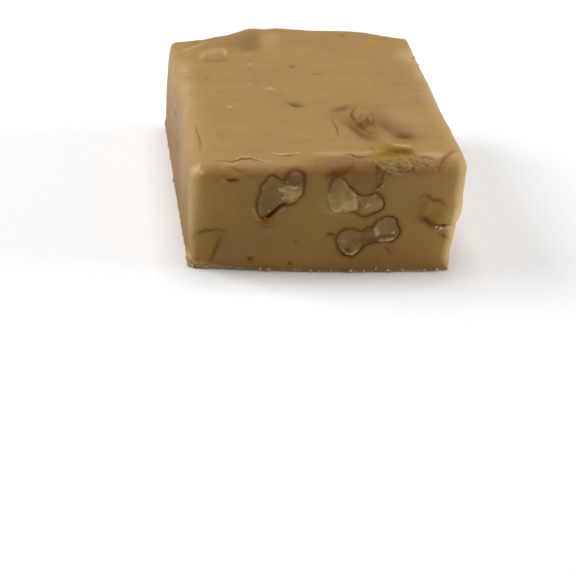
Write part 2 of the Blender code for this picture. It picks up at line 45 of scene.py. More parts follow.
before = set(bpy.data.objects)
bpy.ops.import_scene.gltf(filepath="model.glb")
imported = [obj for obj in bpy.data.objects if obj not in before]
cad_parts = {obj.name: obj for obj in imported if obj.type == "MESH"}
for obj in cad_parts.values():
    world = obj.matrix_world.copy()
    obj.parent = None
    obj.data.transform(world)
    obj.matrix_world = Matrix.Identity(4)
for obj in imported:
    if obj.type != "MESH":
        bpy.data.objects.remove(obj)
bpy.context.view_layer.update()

MM = 0.001
CENTRE_SHIFT = Vector((-0.420, -0.410, 0.0)) * MM

# Names of the two helper objects that the pieces are cut from or laid on. main() removes them
SMOOTH_FORM = "smooth_form"
PLAIN_FORM = "plain_form"

FUDGE_FINISH = "fudge_finish"

# Each wall of the block: a unit across it, up it and out of it
WALLS = {
    "top": ((1, 0, 0), (0, 1, 0), (0, 0, 1)),
    "front": ((1, 0, 0), (0, 0, 1), (0, -1, 0)),
    "right": ((0, 1, 0), (0, 0, 1), (1, 0, 0)),
    "back": ((-1, 0, 0), (0, 0, 1), (0, 1, 0)),
    "left": ((0, -1, 0), (0, 0, 1), (-1, 0, 0)),
}

# How round the edges are, and how far the walls bow outwards. The front's upper edge is sharper in
# its middle
FRONT_LEFT_ROUNDING = 3.0 * MM
FRONT_RIGHT_ROUNDING = 3.1 * MM
MIDDLE_SHARPER = 0.9 * MM
BACK_ROUNDING = 1.1 * MM
FOOT_ROUNDING = 0.25 * MM
FOOT_SHARE = 0.12
LEFT_BULGE = 0.4 * MM
RIGHT_BULGE = 0.75 * MM
FRONT_BULGE = 1.2 * MM
BACK_BULGE = 1.6 * MM

# The front leans back towards its upper edge
LEAN = 0.15 * MM
LEAN_SHARE = 0.26

# A surface that faces less than this towards a wall's outside isn't part of that wall
WALL_EDGE = 0.15

# The worn corner at the front left of the foot
WORN_CORNER = (-27 * MM, -28 * MM, 0.0)
CORNER_WEAR = 0.15 * MM
WEAR_REACH = 6 * MM

# How high the frosted foot reaches, how much higher at the worn corner, how strong it is, where it
# begins to fade as a share of its height, and which way is so far down that it is the underside
FROST_HEIGHT = 0.35 * MM
FROST_AT_CORNER = 1.6 * MM
FROST_STRENGTH = 1.1
FROST_FADE = 1.3
UNDERSIDE = -0.9

# How far the knife left each corner off a plain box: right, back and up, in millimetres
CORNER_SHIFTS = {
    (-1, -1, 0): (0.5, 0.5, 0.0),
    (1, -1, 0): (0.3, -1.3, 0.0),
    (-1, 1, 0): (-0.6, 0.7, 0.0),
    (1, 1, 0): (0.0, 0.0, 0.0),
    (-1, -1, 1): (0.2, -0.2, -0.4),
    (1, -1, 1): (1.35, 0.6, 1.6),
    (-1, 1, 1): (-0.1, -0.5, -1.7),
    (1, 1, 1): (-0.2, 0.2, 0.1),
}

# Waves all over the block, as size and height in millimetres, largest first
WAVES = [(13, 0.28), (3.6, 0.07), (1.3, 0.022), (0.55, 0.010)]

# Waves that the knife drew out, over the top and then round the walls: size, stretch and height
SMEAR = (3.2, (9, 1, 1), 0.10)
FINE_SMEAR = (1.1, (12, 1, 1), 0.028)
SAW_MARKS = (0.9, (10, 10, 1), 0.022)

# All relief fades out towards the foot, below this height
FOOT_FADE = 2 * MM

# Paths that a crack and its stain share
CORNER_NOTCH = [(22.2, -28.2), (23.5, -26.9), (24.6, -25.7), (26.2, -24.2)]
HEART_SLIT = [(-8.1, 16.8), (-9.1, 15.9), (-10.2, 14.6), (-11.3, 13.6), (-12.3, 13.2)]
EDGE_NUT_BROW = [
    (19.3, 17.9), (19.9, 18.5), (20.8, 18.3), (22, 17.2), (23.3, 17.1), (24.1, 16.6), (24.9, 15.7)]
FOOT_NUT_BROW = [
    (-26.4, 6.6), (-25.7, 8), (-24.9, 9.1), (-23.9, 9.6), (-22.9, 9.7), (-21.6, 9.9), (-19.9, 9.6)]
FOOT_NUT_SIDE = [(-20.8, 8.2), (-21.2, 6.4), (-21.6, 5.1), (-22, 3.5), (-22.6, 1.9)]

# Swellings (+) and hollows (-) of each wall: across, up, half length, half width and height, then
# where they aren't 0 and 1, the turn in degrees and how steep the flanks are, 3 being nearly a step
SWELLS = {
    "top": [
        (4, 29, 17, 15, 1.45), (17.5, 29, 5, 7, 0.45), (-8, 31.5, 9, 5, 2.2),
        (-9.9, 31, 1.7, 3.4, 0.42), (-5.7, 31, 1.6, 3, -0.45), (-17.6, 31, 1.6, 3, 0.35),
        (-5.7, 24.4, 3.4, 2, 0.8, 80, 1.4), (-9.8, 24.2, 3.4, 2.8, -1.05, 50),
        (-16.5, 26, 5, 3, -0.3, 10), (-18.4, 20.6, 3, 2.9, 0.55, 0, 2),
        (-16.3, 20.8, 2.6, 0.9, 0.26, 80, 1.5), (-21, 19.8, 1.1, 1, 0.22, 0, 1.5),
        (-22.6, 24.7, 4.2, 0.5, 0.14, 33), (14.3, -12.6, 4.6, 1.6, -0.65, -68),
        (17.6, -17.4, 1.5, 1.1, -0.3), (8.4, -14.4, 4, 1.4, -0.65, -68),
        (11.9, -18.8, 3, 1, 0.3, -80), (6, -5.1, 1.8, 0.9, -0.18, 25),
        (10.8, -9.6, 6.5, 4.6, 0.4, -80), (-3.3, -3.1, 1.4, 0.8, -0.55, -35),
        (-1.7, 13.6, 0.75, 0.5, -0.35), (2.9, 10.6, 0.75, 0.5, -0.35, -20),
        (-8, 4.2, 0.7, 0.6, 0.18, 0, 1.5), (11, 30, 5, 4, 0.35), (-12, 6.2, 0.5, 0.4, 0.18, 0, 1.5),
        (-26.4, -27, 0.6, 0.5, -0.16, 30), (-25.2, -26.2, 0.9, 0.4, 0.3, 70, 1.5),
    ],
    "front": [
        (-18.9, 21.7, 1.5, 0.4, -0.22, 4), (-18.5, 22.5, 1.5, 0.4, 0.2, 4),
        (-14.4, 2.8, 0.55, 0.45, -0.35), (-6.2, 2.1, 0.55, 0.45, -0.35),
        (-5.6, 7.5, 0.5, 0.4, -0.25), (1.5, 9.3, 0.85, 0.45, -0.4, 5),
        (-11.6, 11.7, 1.3, 0.6, 0.28, -8), (2.8, 23.4, 2.6, 0.5, 0.25, 14),
        (25.6, 13.1, 2.4, 1.8, 0.35, 0, 1.5), (20.7, 15.2, 1.2, 2, 0.25, -20, 1.5),
        (-23.6, 6.3, 2.4, 2.8, 0.4, -20, 1.5), (-25.4, 3.4, 1.4, 1.2, 0.2),
    ],
    "left": [
        (-6.5, 16.4, 0.6, 0.5, -0.45), (8, 7.4, 0.5, 0.4, -0.25), (-27.4, 1.6, 1.2, 0.9, 0.35),
        (-4, 12, 20, 3, 0.18, -3),
    ],
    "right": [
        (-28.2, 13.6, 3.2, 2.6, 0.45, 0, 2), (-28, 10.4, 2.6, 0.5, -0.35),
        (-20.5, 19.8, 1.3, 0.45, -0.45, 12), (4.6, 4.6, 0.6, 0.45, -0.35),
        (22.6, 13.8, 0.6, 0.5, -0.35), (-6, 19.6, 14, 2.2, 0.18, -2),
    ],
    "back": [
        (-16.8, 19.2, 1.6, 0.5, -0.5, 8), (1.2, 5.2, 0.6, 0.5, -0.35),
        (19, 6.6, 0.9, 0.4, -0.4, -10),
    ],
}

# Cracks of each wall: the points that each runs through, its half width, its depth, the height of
# the flake that it lifts on one side, and how dark the painted shade in it is
CRACKS = {
    "top": [
        ([(-22.1, -25.8), (-20.6, -25.9), (-19.4, -26.5), (-18.7, -26.2), (-18.1, -25.7),
          (-16.8, -25.2), (-16.2, -25.5), (-15.6, -25.2), (-14.8, -25.9), (-13.6, -26.3),
          (-12.9, -26.6)], 0.22, 0.17, 0.12, 0.62),
        ([(-10.5, -23.9), (-9, -24.5), (-6.9, -24.3), (-5.3, -23.8)], 0.22, 0.12, 0.14, 0.25),
        ([(3.7, -24.7), (4.6, -24.5), (5.5, -25.4), (6.1, -26), (7.6, -25.7),
          (9.3, -25.4)], 0.3, 0.22, 0.1, 0.75),
        ([(17.9, -26), (18.8, -26.3), (19.8, -26.1), (20.7, -26.6),
          (21.5, -26.9)], 0.5, 0.22, 0.05, 0.6),
        (CORNER_NOTCH, 0.5, 0.34, 0.12, 0.3),
        ([(-25.3, -11), (-24.8, -17), (-24.9, -21.6)], 0.22, 0.18, 0.03, 0.4),
        ([(-25, 1.4), (-25.2, 4.6)], 0.2, 0.1, 0.03, 0.18),
        ([(3.5, -9.8), (3.9, -13.4), (3.7, -16.8)], 0.22, 0.2, 0.03, 0.55),
    ],
    "front": [
        ([(-22.1, 23.8), (-20.9, 24.6), (-19.5, 23.9), (-17.9, 23.3),
          (-16.3, 23.6)], 0.3, 0.06, 0.04, 0.3),
        ([(-20.9, 22.2), (-20.2, 21.7), (-19.4, 21.6), (-18.6, 21.9),
          (-18, 21.9)], 0.34, 0.18, 0.06, 0.8),
        ([(13.2, 6.4), (14.2, 5.4), (15, 4.6)], 0.26, 0.14, 0.03, 0.55),
        ([(24.8, 9.2), (25.9, 8.3), (26.9, 7.5)], 0.36, 0.12, 0.04, 0.38),
        ([(10.8, 24), (10.8, 22.7), (10.4, 21.3), (10.3, 20.3)], 0.46, 0.22, 0.08, 0.58),
        (HEART_SLIT, 0.36, 0.8, 0, 0.95),
        ([(19.8, 13.2), (20.9, 12.7), (22, 11.9), (23.2, 11.2)], 0.78, 0.46, 0.04, 0.62),
        ([(23.2, 11.2), (24.4, 11.2), (26, 10.9), (27.8, 10.8)], 0.3, 0.36, 0.06, 0.42),
        (EDGE_NUT_BROW, 0.44, 0.12, 0, 0.28), (FOOT_NUT_BROW, 0.38, 0.12, 0, 0.34),
        (FOOT_NUT_SIDE, 0.4, 0.12, 0, 0.34),
    ],
    "right": [
        ([(18.2, 12.6), (19.4, 12.1), (20.8, 12.5)], 0.34, 0.18, 0.06, 0.7),
        ([(-21.6, 6.2), (-20.7, 4.7), (-20.3, 3.2)], 0.3, 0.12, 0.03, 0.5),
        ([(-24.6, 22.8), (-22.4, 23.2), (-20, 22.6), (-17.8, 22.9)], 0.3, 0.08, 0.06, 0.35),
    ],
    "back": [
        ([(-20.4, 8.6), (-19.2, 8), (-17.9, 8.3)], 0.34, 0.18, 0.06, 0.7),
        ([(2.6, 19.8), (4.4, 19.2), (6.2, 19.9)], 0.3, 0.12, 0.04, 0.45),
    ],
}
FLAKE_OFFSET = 0.40
FLAKE_WIDTH = 0.34
FAR_SIDE_LIFT = 0.4

# How a crack or line wanders from its path, as size and reach in millimetres, and what keeps its
# two ways of wandering apart
CRACK_WANDER = (0.9, 0.16)
WANDER_SHIFT = 7 * MM

# How open a crack is at its ends, as a share of a half wave, how far round its path it is worked
# out, and how soon it is full inside its wall. Lines are worked out within so many half widths
CRACK_END = 0.12
CRACK_REACH = 2
CRACK_HOLD = 3
LINE_REACH = 3

# Further than any point is from a path, in millimetres
FAR = 1e9

# Crumbly patches of the walls, as swellings whose height is that of the crumbs in them
CRUMBLY = {
    "top": [
        (-17.5, -25, 5, 0.7, 0.1), (-7.5, -23.6, 3, 0.6, 0.1), (20, -27, 3, 0.8, 0.16, 0, 1.5),
        (26.6, -10, 1, 14, 0.05), (26.8, 16, 1, 14, 0.07), (0, 28.6, 20, 0.8, 0.06),
        (-26.4, 0, 0.9, 24, 0.05),
    ],
    "front": [
        (18.9, 24.6, 3.4, 0.9, 0.16, 0, 1.5), (10.9, 22, 0.8, 2.2, 0.18, -8, 1.5),
        (-25.8, 0.9, 2.2, 1.2, 0.14, 0, 1.5), (0, 0.4, 30, 0.5, 0.14),
        (25.1, 10.9, 2.4, 0.6, 0.34, 0, 1.5), (4.1, 13.2, 3.6, 0.7, 0.08),
    ],
    "left": [(0, 0.4, 30, 0.5, 0.18), (10, 8, 14, 7, 0.03)],
    "right": [(0, 0.4, 30, 0.5, 0.18)],
    "back": [(0, 0.4, 30, 0.5, 0.18)],
}
CRUMB_CHUNKS = [(0.95, 1), (0.42, 0.5)]
CRUMBLY_FROM = 0.004

# Crumbly noise: how far it rises, and how far it is set down
CRUMBLE_RISE = 2.2
CRUMBLE_DROP = 0.35

# The cells are cut finer this near a crack's line, and where it is this crumbly
FINE_CUTS = 2
FINE_REACH = 1
FINE_PART = 0.2
FINE_NEAR_CRACK = 0.6
FINE_CRUMBLY = 0.12

# Colour marks on the fudge: spots, as swellings whose height is the mark's strength, and lines, as
# their path, half width and strength. Some colours are partly painted light and shade, as said at
# each
FUDGE_MARKS = {
    # Dark marks: mostly painted shade, in pits, cracks and grooves, in the hollows round the lumps
    # and the top kernel, above the cut walnuts and low on the left cut. The rest are brown stains
    "dark": {
        "top": [
            (17.3, -17.5, 1.6, 1.2, 0.5), (2.5, -27.2, 7, 1.8, 0.16),
            (-3.4, -3.1, 1.7, 0.95, 0.7, -35), (-1.7, 14, 0.8, 0.5, 0.4),
            (2.9, 10.6, 0.8, 0.5, 0.3, -20), (-8.4, 23.8, 1.6, 2.4, 0.26),
            (-12, 25.6, 3.4, 2.4, 0.16, 20), ([(13, -11), (14.4, -14), (16.2, -16.8)], 1.7, 0.34),
            (-21, 10.1, 0.8, 0.5, 0.3, 40), (-10.5, 10.4, 0.5, 0.4, 0.25),
            ([(4.7, -5.9), (6.3, -5.2), (7.7, -4.6)], 1.1, 0.6),
            ([(7.2, -10.4), (8.2, -14), (9.6, -17.2), (11.2, -19.2)], 1.5, 0.46),
            ([(9.2, -21.4), (9.9, -23.3)], 0.35, 0.45),
            ([(11.5, -20.6), (12.7, -19.9)], 0.35, 0.25),
        ],
        "front": [
            (-14.4, 2.8, 0.65, 0.5, 0.85), (-6.2, 2.1, 0.5, 0.45, 0.7), (-5.6, 7.5, 0.35, 0.3, 0.5),
            (10.3, 11.9, 0.4, 0.3, 0.55), (20, 24.6, 0.35, 0.3, 0.4), (17.1, 16.9, 0.35, 0.3, 0.3),
            (14, 17.4, 0.3, 0.3, 0.3), (17, 11.3, 0.3, 0.3, 0.3), (-18.5, 6.6, 0.6, 0.4, 0.22),
            (-7.2, 24.3, 4, 0.7, 0.22), (-8.5, 22.6, 0.9, 0.9, 0.3), (-20.6, 7.4, 1.6, 3, 0.18, 10),
            ([(0.9, 9.3), (2.2, 9.3)], 0.45, 0.8),
            ([(-0.5, 22.9), (0.8, 23.6), (3, 24), (4.6, 24.8)], 0.62, 0.8),
            (6.4, 22, 3.2, 2.2, 0.16, -20),
            ([(-12.7, 11.1), (-11.5, 10.9), (-10.3, 10.8)], 0.36, 0.5),
            ([(-10.2, 13.4), (-9, 14.1), (-7.7, 14.7)], 0.25, 0.35),
            ([(9.4, 25.6), (9.6, 24), (9.9, 22), (10, 20.6)], 0.5, 0.45),
            ([(16.2, 23.5), (18.6, 23.4), (21.2, 23.9)], 0.5, 0.2),
            ([(-24, 24.1), (-22.2, 23.6)], 0.35, 0.2),
        ],
        "left": [(-5.1, 17.2, 0.6, 0.4, 0.6), (8, 7.4, 0.5, 0.4, 0.4), (22, 6, 8, 7, 0.1)],
        "right": [
            (4.6, 4.6, 0.6, 0.45, 0.6), (22.6, 13.8, 0.6, 0.5, 0.6),
            ([(-4.4, 14.6), (-2.6, 15.3), (-0.8, 15.2)], 0.55, 0.6), (-16, 16, 0.35, 0.3, 0.4),
            (4, 17.6, 0.35, 0.3, 0.35), (24.6, 8, 0.6, 0.4, 0.25),
        ],
        "back": [
            (1.2, 5.2, 0.6, 0.5, 0.6), (-16.8, 19.2, 1.5, 0.4, 0.6, 8),
            ([(-13.6, 7), (-12.2, 6.9), (-10.8, 7.3)], 0.45, 0.55), (-1.6, 9.8, 0.35, 0.3, 0.4),
            (16.4, 12, 0.35, 0.3, 0.35),
        ],
    },
    # Pale marks: dry sugar and flakes, and painted highlights on the rolled edges of the top and of
    # the walls, on the lips of the cracks along the top's front edge and on the lit sides of the two
    # lumps at the back of the top
    "pale": {
        "top": [
            (-8, 4.3, 0.8, 0.5, 0.7), (-11.9, 6.7, 0.5, 0.4, 0.5), (-26.2, -26.9, 0.7, 0.5, 0.9),
            (-27, -26.2, 0.5, 0.8, 0.9), (-18.6, 21.4, 2.6, 1.8, 0.24, 0, 2),
            (-5.8, 24.8, 3.4, 1.8, 0.24, 80), (-21.3, 19.7, 0.9, 1, 0.4, 0, 1.5),
            ([(-17.4, 23.3), (-16.1, 21.6), (-16.2, 19.2)], 0.6, 0.42),
            (-25.7, 14.2, 1.3, 3.2, 0.3), (-25.9, 4, 0.9, 5, 0.2), (-17.4, -3.4, 0.7, 0.4, 0.6),
            (-11, 15.4, 0.6, 0.5, 0.35), (-4.1, 1.8, 0.6, 0.4, 0.3),
            ([(-25.5, 22.8), (-22.7, 24.7), (-19.6, 26.7)], 0.5, 0.4),
            ([(-18.2, -25.3), (-16.9, -24.6), (-15.4, -24.7)], 0.26, 0.65),
            ([(-13.8, -25.7), (-12.6, -26.4), (-11.6, -26.4)], 0.25, 0.45),
            ([(-21, -26.6), (-19.4, -27.4), (-18, -26.6)], 0.3, 0.35),
            ([(-11, -23.4), (-9.2, -23.9), (-7, -23.7), (-5.2, -23.2)], 0.25, 0.6),
            ([(-2, -23.8), (2, -24), (5.6, -24.2)], 0.7, 0.3),
            ([(6.5, -24.3), (9, -23.8), (11, -23.4)], 0.6, 0.3),
            ([(14.6, -21.3), (16, -21.4), (17.3, -21.5)], 0.45, 0.75),
            ([(18.5, -24.6), (21, -24.9), (23, -25.6)], 0.6, 0.25), (-26, 0, 2.6, 24, 0.3),
            (26.6, 0, 2, 30, 0.3), (25.2, 19, 2.2, 3, 0.34), (26.4, 11, 1.2, 3, 0.2),
            (24, -25.6, 5, 1.6, 0.3),
        ],
        "front": [
            (0.6, 17.4, 1.8, 2.2, 0.22), (2.4, 14.5, 2.6, 0.7, 0.2, -8), (27, 13.4, 2, 1.6, 0.16),
            (20.4, 24.6, 2.6, 1, 0.16), (27.2, 12.6, 1, 8, 0.14),
            ([(-27.3, 3.4), (-26.9, 2), (-26, 1.2), (-24.8, 0.8), (-23.4, 0.5)], 0.42, 0.6),
            (27.4, 13.4, 1.8, 2.2, 0.3), (28.6, 14, 2.6, 14, 0.36), (-27.8, 14, 2.6, 13, 0.36),
            (-20.9, 21.4, 0.4, 0.25, 0.5), (-25.3, 22.8, 0.5, 0.4, 0.7),
            (-23.3, 16.1, 0.3, 0.2, 0.5), (-15.5, 21.2, 0.5, 0.3, 0.3),
            (-11.5, 23.8, 0.35, 0.3, 0.5), (10.2, 20, 0.32, 0.32, 1, 0, 2),
            (9.9, 10.6, 0.3, 0.3, 0.3),
            ([(-27.1, 2.8), (-26.8, 1.7), (-26.1, 0.9), (-25.1, 0.6), (-24, 0.5),
              (-22.8, 0.4)], 0.8, 1),
            ([(-14.6, 15.4), (-14.1, 13.9), (-13.4, 12.5)], 0.28, 0.45),
            ([(24, 10.6), (25.3, 10.4), (26.8, 10.4)], 0.35, 0.8),
        ],
        "left": [([(27.4, 3), (27.2, 12), (27.2, 23)], 0.9, 0.4)],
        "right": [
            (-28.6, 12, 2, 13, 0.36), (28.6, 12, 2, 13, 0.3), (-17.6, 13.4, 0.5, 0.3, 0.5),
            (2.6, 7.2, 0.4, 0.3, 0.45), (21.4, 17.6, 0.5, 0.3, 0.5),
        ],
        "back": [
            (-28.4, 12, 2, 13, 0.36), (28.2, 12, 2, 12, 0.3), (-1.8, 14.6, 0.5, 0.3, 0.5),
            (15.6, 9, 0.4, 0.3, 0.45),
        ],
    },
    # Painted light: warmer, lighter fudge where light spills onto the front cut, mostly near its
    # side edges and its upper edge, and the same on the hidden cuts
    "warm": {
        "front": [
            (26, 18, 4.2, 8, 0.85), (26, 5, 3, 6, 0.45), (20, 10, 8, 12, 0.25),
            (-26.4, 14, 3.2, 10, 0.6), (-21, 17, 4, 5, 0.2), (0, 25.6, 26, 1.2, 0.25),
            (27.2, 13.6, 3.4, 3, 0.6), (-10, 2.8, 10, 2.4, 0.3),
        ],
        "right": [(-26.6, 12, 3.6, 10, 0.5), (26, 15, 4, 9, 0.4), (0, 23.4, 26, 1.2, 0.25)],
        "back": [(-26, 14, 3.6, 9, 0.5), (25, 8, 4, 8, 0.4), (0, 23.4, 26, 1.2, 0.25)],
    },
    "green": {
        "front": [
            (-2.2, 16.7, 3, 4, 0.6), (-4.2, 10, 9, 5, 0.45, 10), (16, 17, 4, 5, 0.4),
            (10, 4, 6, 3, 0.25),
        ],
        "right": [(5, 10, 7, 6, 0.45), (-18, 18, 6, 4, 0.3)],
        "back": [(0.6, 8, 6, 6, 0.45), (-20, 16, 5, 5, 0.3)],
        "top": [(0, 0, 14, 8, 0.15)],
    },
    # Olive marks: walnut oil in the fudge. The broad band low on the left cut and the spot in the
    # dent right of the top kernel are painted shade
    "olive": {
        "top": [
            (17.4, -17.4, 1.5, 1.2, 0.4), (25.4, 16, 1.6, 12, 0.16), (13.2, -24.2, 5.6, 3.2, 0.42),
            (-22.6, -4, 2.2, 22, 0.14), (-25.2, -23, 1.2, 3, 0.3),
        ],
        "front": [
            (26.4, 13.6, 3.6, 2.4, 0.9, 0, 1.5), (-24.2, 5.3, 2.4, 3.8, 0.55, -10, 1.5),
            (-24.8, 2.8, 1.5, 1.5, 0.35), (-4.2, 11.8, 7, 5, 0.2, 30), (-2.2, 16.7, 2.4, 4, 0.2),
            (15.5, 20, 3, 3, 0.15), (21.5, 7, 5, 6, 0.18), (-20.5, 15.5, 5, 6, 0.12),
            (-25.3, 20.5, 1.3, 2.4, 0.35), (2.4, 14.4, 3.2, 1.2, 0.3, -10),
        ],
        "right": [(-27.2, 13.4, 2.4, 2.4, 0.7), (4, 13, 3, 4, 0.35), (18, 1.6, 6, 2, 0.3)],
        "back": [(-2.4, 12.4, 3, 5, 0.35), (16, 14.6, 4, 2.4, 0.3)],
        "left": [(6, 4, 26, 7, 0.45), (25, 13, 5, 9, 0.35)],
    },
    # Dark olive marks: fudge stained by walnut skin. The broad band low on the left cut and the spot
    # in the dent right of the top kernel are painted shade
    "moss": {
        "top": [(16, -23.8, 2.4, 0.9, 0.45, 0, 1.5), (17.5, -17.6, 1.7, 1.3, 0.5)],
        "front": [
            (21.6, 15, 2.8, 2, 0.34, -20, 1.5), ([(8.9, 26.9), (9.5, 25.3), (10, 23.7)], 0.7, 0.45),
            ([(24.2, 12.2), (26, 11.6), (28, 11.6)], 0.5, 0.25),
            (-24.2, 5, 2.4, 3.6, 0.16, -10, 1.5), (-11.6, 11.8, 1.8, 0.8, 0.5),
            (EDGE_NUT_BROW, 0.55, 0.6), (FOOT_NUT_BROW, 0.5, 0.6), (FOOT_NUT_SIDE, 0.5, 0.6),
        ],
        "left": [(4, 2, 30, 7, 0.4), (24, 9, 7, 9, 0.34)],
    },
    # Orange marks: orange-brown stains where walnut skin shows through, and painted shade under the
    # front face of the back left lump, in the hollow beside the back lump and in the hollow beside
    # the top kernel's tail
    "rust": {
        "top": [
            (-25.1, 10, 1, 0.4, 0.9), (-23.5, 12, 1.6, 1.4, 0.25),
            ([(-20.6, 17.9), (-18.2, 17.3), (-16.2, 17.9)], 0.75, 0.55), (-8.8, 24, 2.4, 2.8, 0.18),
            (CORNER_NOTCH, 0.8, 1.3), (17.8, -24.6, 1.5, 1.3, 0.45),
            ([(11.3, -10.8), (11.8, -13.3), (12, -15.8), (12.2, -17.7)], 1.1, 0.32),
            ([(6.8, -10.4), (7.8, -14), (9.2, -17.6)], 1.5, 0.4),
            ([(24.7, -12.4), (25, -17), (25.3, -20.8)], 0.8, 0.22),
        ],
        "front": [
            (-11.6, 12, 1.8, 0.9, 0.9), (-22, 14, 3, 7, 0.12, 10), (1.6, 23, 1.5, 0.8, 0.6),
            ([(0, 23.1), (2.4, 23.9), (4.6, 24.6)], 0.7, 0.45), (24.8, 18.5, 3.4, 5, 0.22),
            (5, 23.2, 2.6, 1.4, 0.1, 20), ([(19.6, 13.2), (21.4, 12.4), (23.2, 11.2)], 0.9, 1),
            ([(24.6, 9.2), (25.8, 8.3), (26.6, 7.6)], 0.6, 0.9),
            ([(17, 24), (20, 22.8), (24, 22.8)], 1.2, 0.14),
            ([(-8.9, 21.9), (-8.6, 23.4), (-7.2, 24), (-5.6, 23.9), (-4.6, 23),
              (-4.4, 20.8)], 0.42, 0.5),
        ],
        "right": [
            (-2.4, 15.2, 1.8, 0.8, 1, 5), ([(18, 12.7), (19.4, 12.1), (20.8, 12.5)], 0.7, 0.55),
            (-22, 12, 3.4, 6, 0.2), (15, 9.4, 2.6, 0.7, 0.6, 5),
        ],
        "back": [(-12.2, 7, 1.7, 0.8, 1), (21, 10, 4, 5, 0.2), (9.6, 14.4, 2.2, 0.6, 0.6)],
    },
    # Mauve marks darken the fudge to a greyish mauve. Those in the hollows round the top kernel and
    # above the cut walnuts on the front cut are painted shade
    "mauve": {
        "top": [
            ([(13.2, -7.3), (14.3, -9.9), (15.2, -12.4), (16.4, -15.5), (17.2, -17.4)], 3, 0.85),
            (17.5, -17.8, 2.8, 2, 0.4), (9, -17.4, 2.4, 3.6, 0.4, 10), (20, 14, 6, 12, 0.2),
            (2.5, -27.2, 7, 2, 0.85),
        ],
        "front": [
            ([(2.2, 25.9), (5.5, 25.6), (8.3, 25.9)], 1, 0.9), (2, 25.4, 8, 1.8, 0.75),
            (18.8, 24.9, 3.6, 1.2, 0.8, 0, 1.5), (-8, 24.8, 6, 0.9, 0.5),
            (6.4, 22.2, 3.4, 2.6, 0.65, -20), (-14, 6, 8, 5, 0.3), (19, 6, 6, 5, 0.3),
            (-17, 19, 2.6, 3.6, 0.3),
        ],
        "left": [(0, 14, 18, 8, 0.45)],
        "right": [(-16, 6, 7, 5, 0.35), (22, 20, 5, 3, 0.4), (6, 21.6, 8, 1.6, 0.3)],
        "back": [(-12, 21, 8, 2, 0.35), (16, 5, 7, 4, 0.35)],
    },
    # Pink marks: a dull sugary tone, and painted highlight on the ridge beside the heart walnut's
    # slit and on the lit side of the back lump
    "pink": {
        "top": [
            (19.4, -9.4, 4.6, 3.2, 0.45, -10), (11.5, -20, 2.2, 1.4, 0.35), (22, 14, 6, 14, 0.15),
            (-12, 29, 4, 1.2, 0.2, 10), (-5.7, 25.2, 3.8, 2.1, 0.14, 80),
        ],
        "front": [
            (22, 20.9, 6, 3.4, 0.3), (18.9, 24.9, 3.2, 0.8, 0.3),
            ([(-8.3, 15.9), (-9.4, 14.7), (-10, 13.5)], 0.35, 0.7),
        ],
    },
}

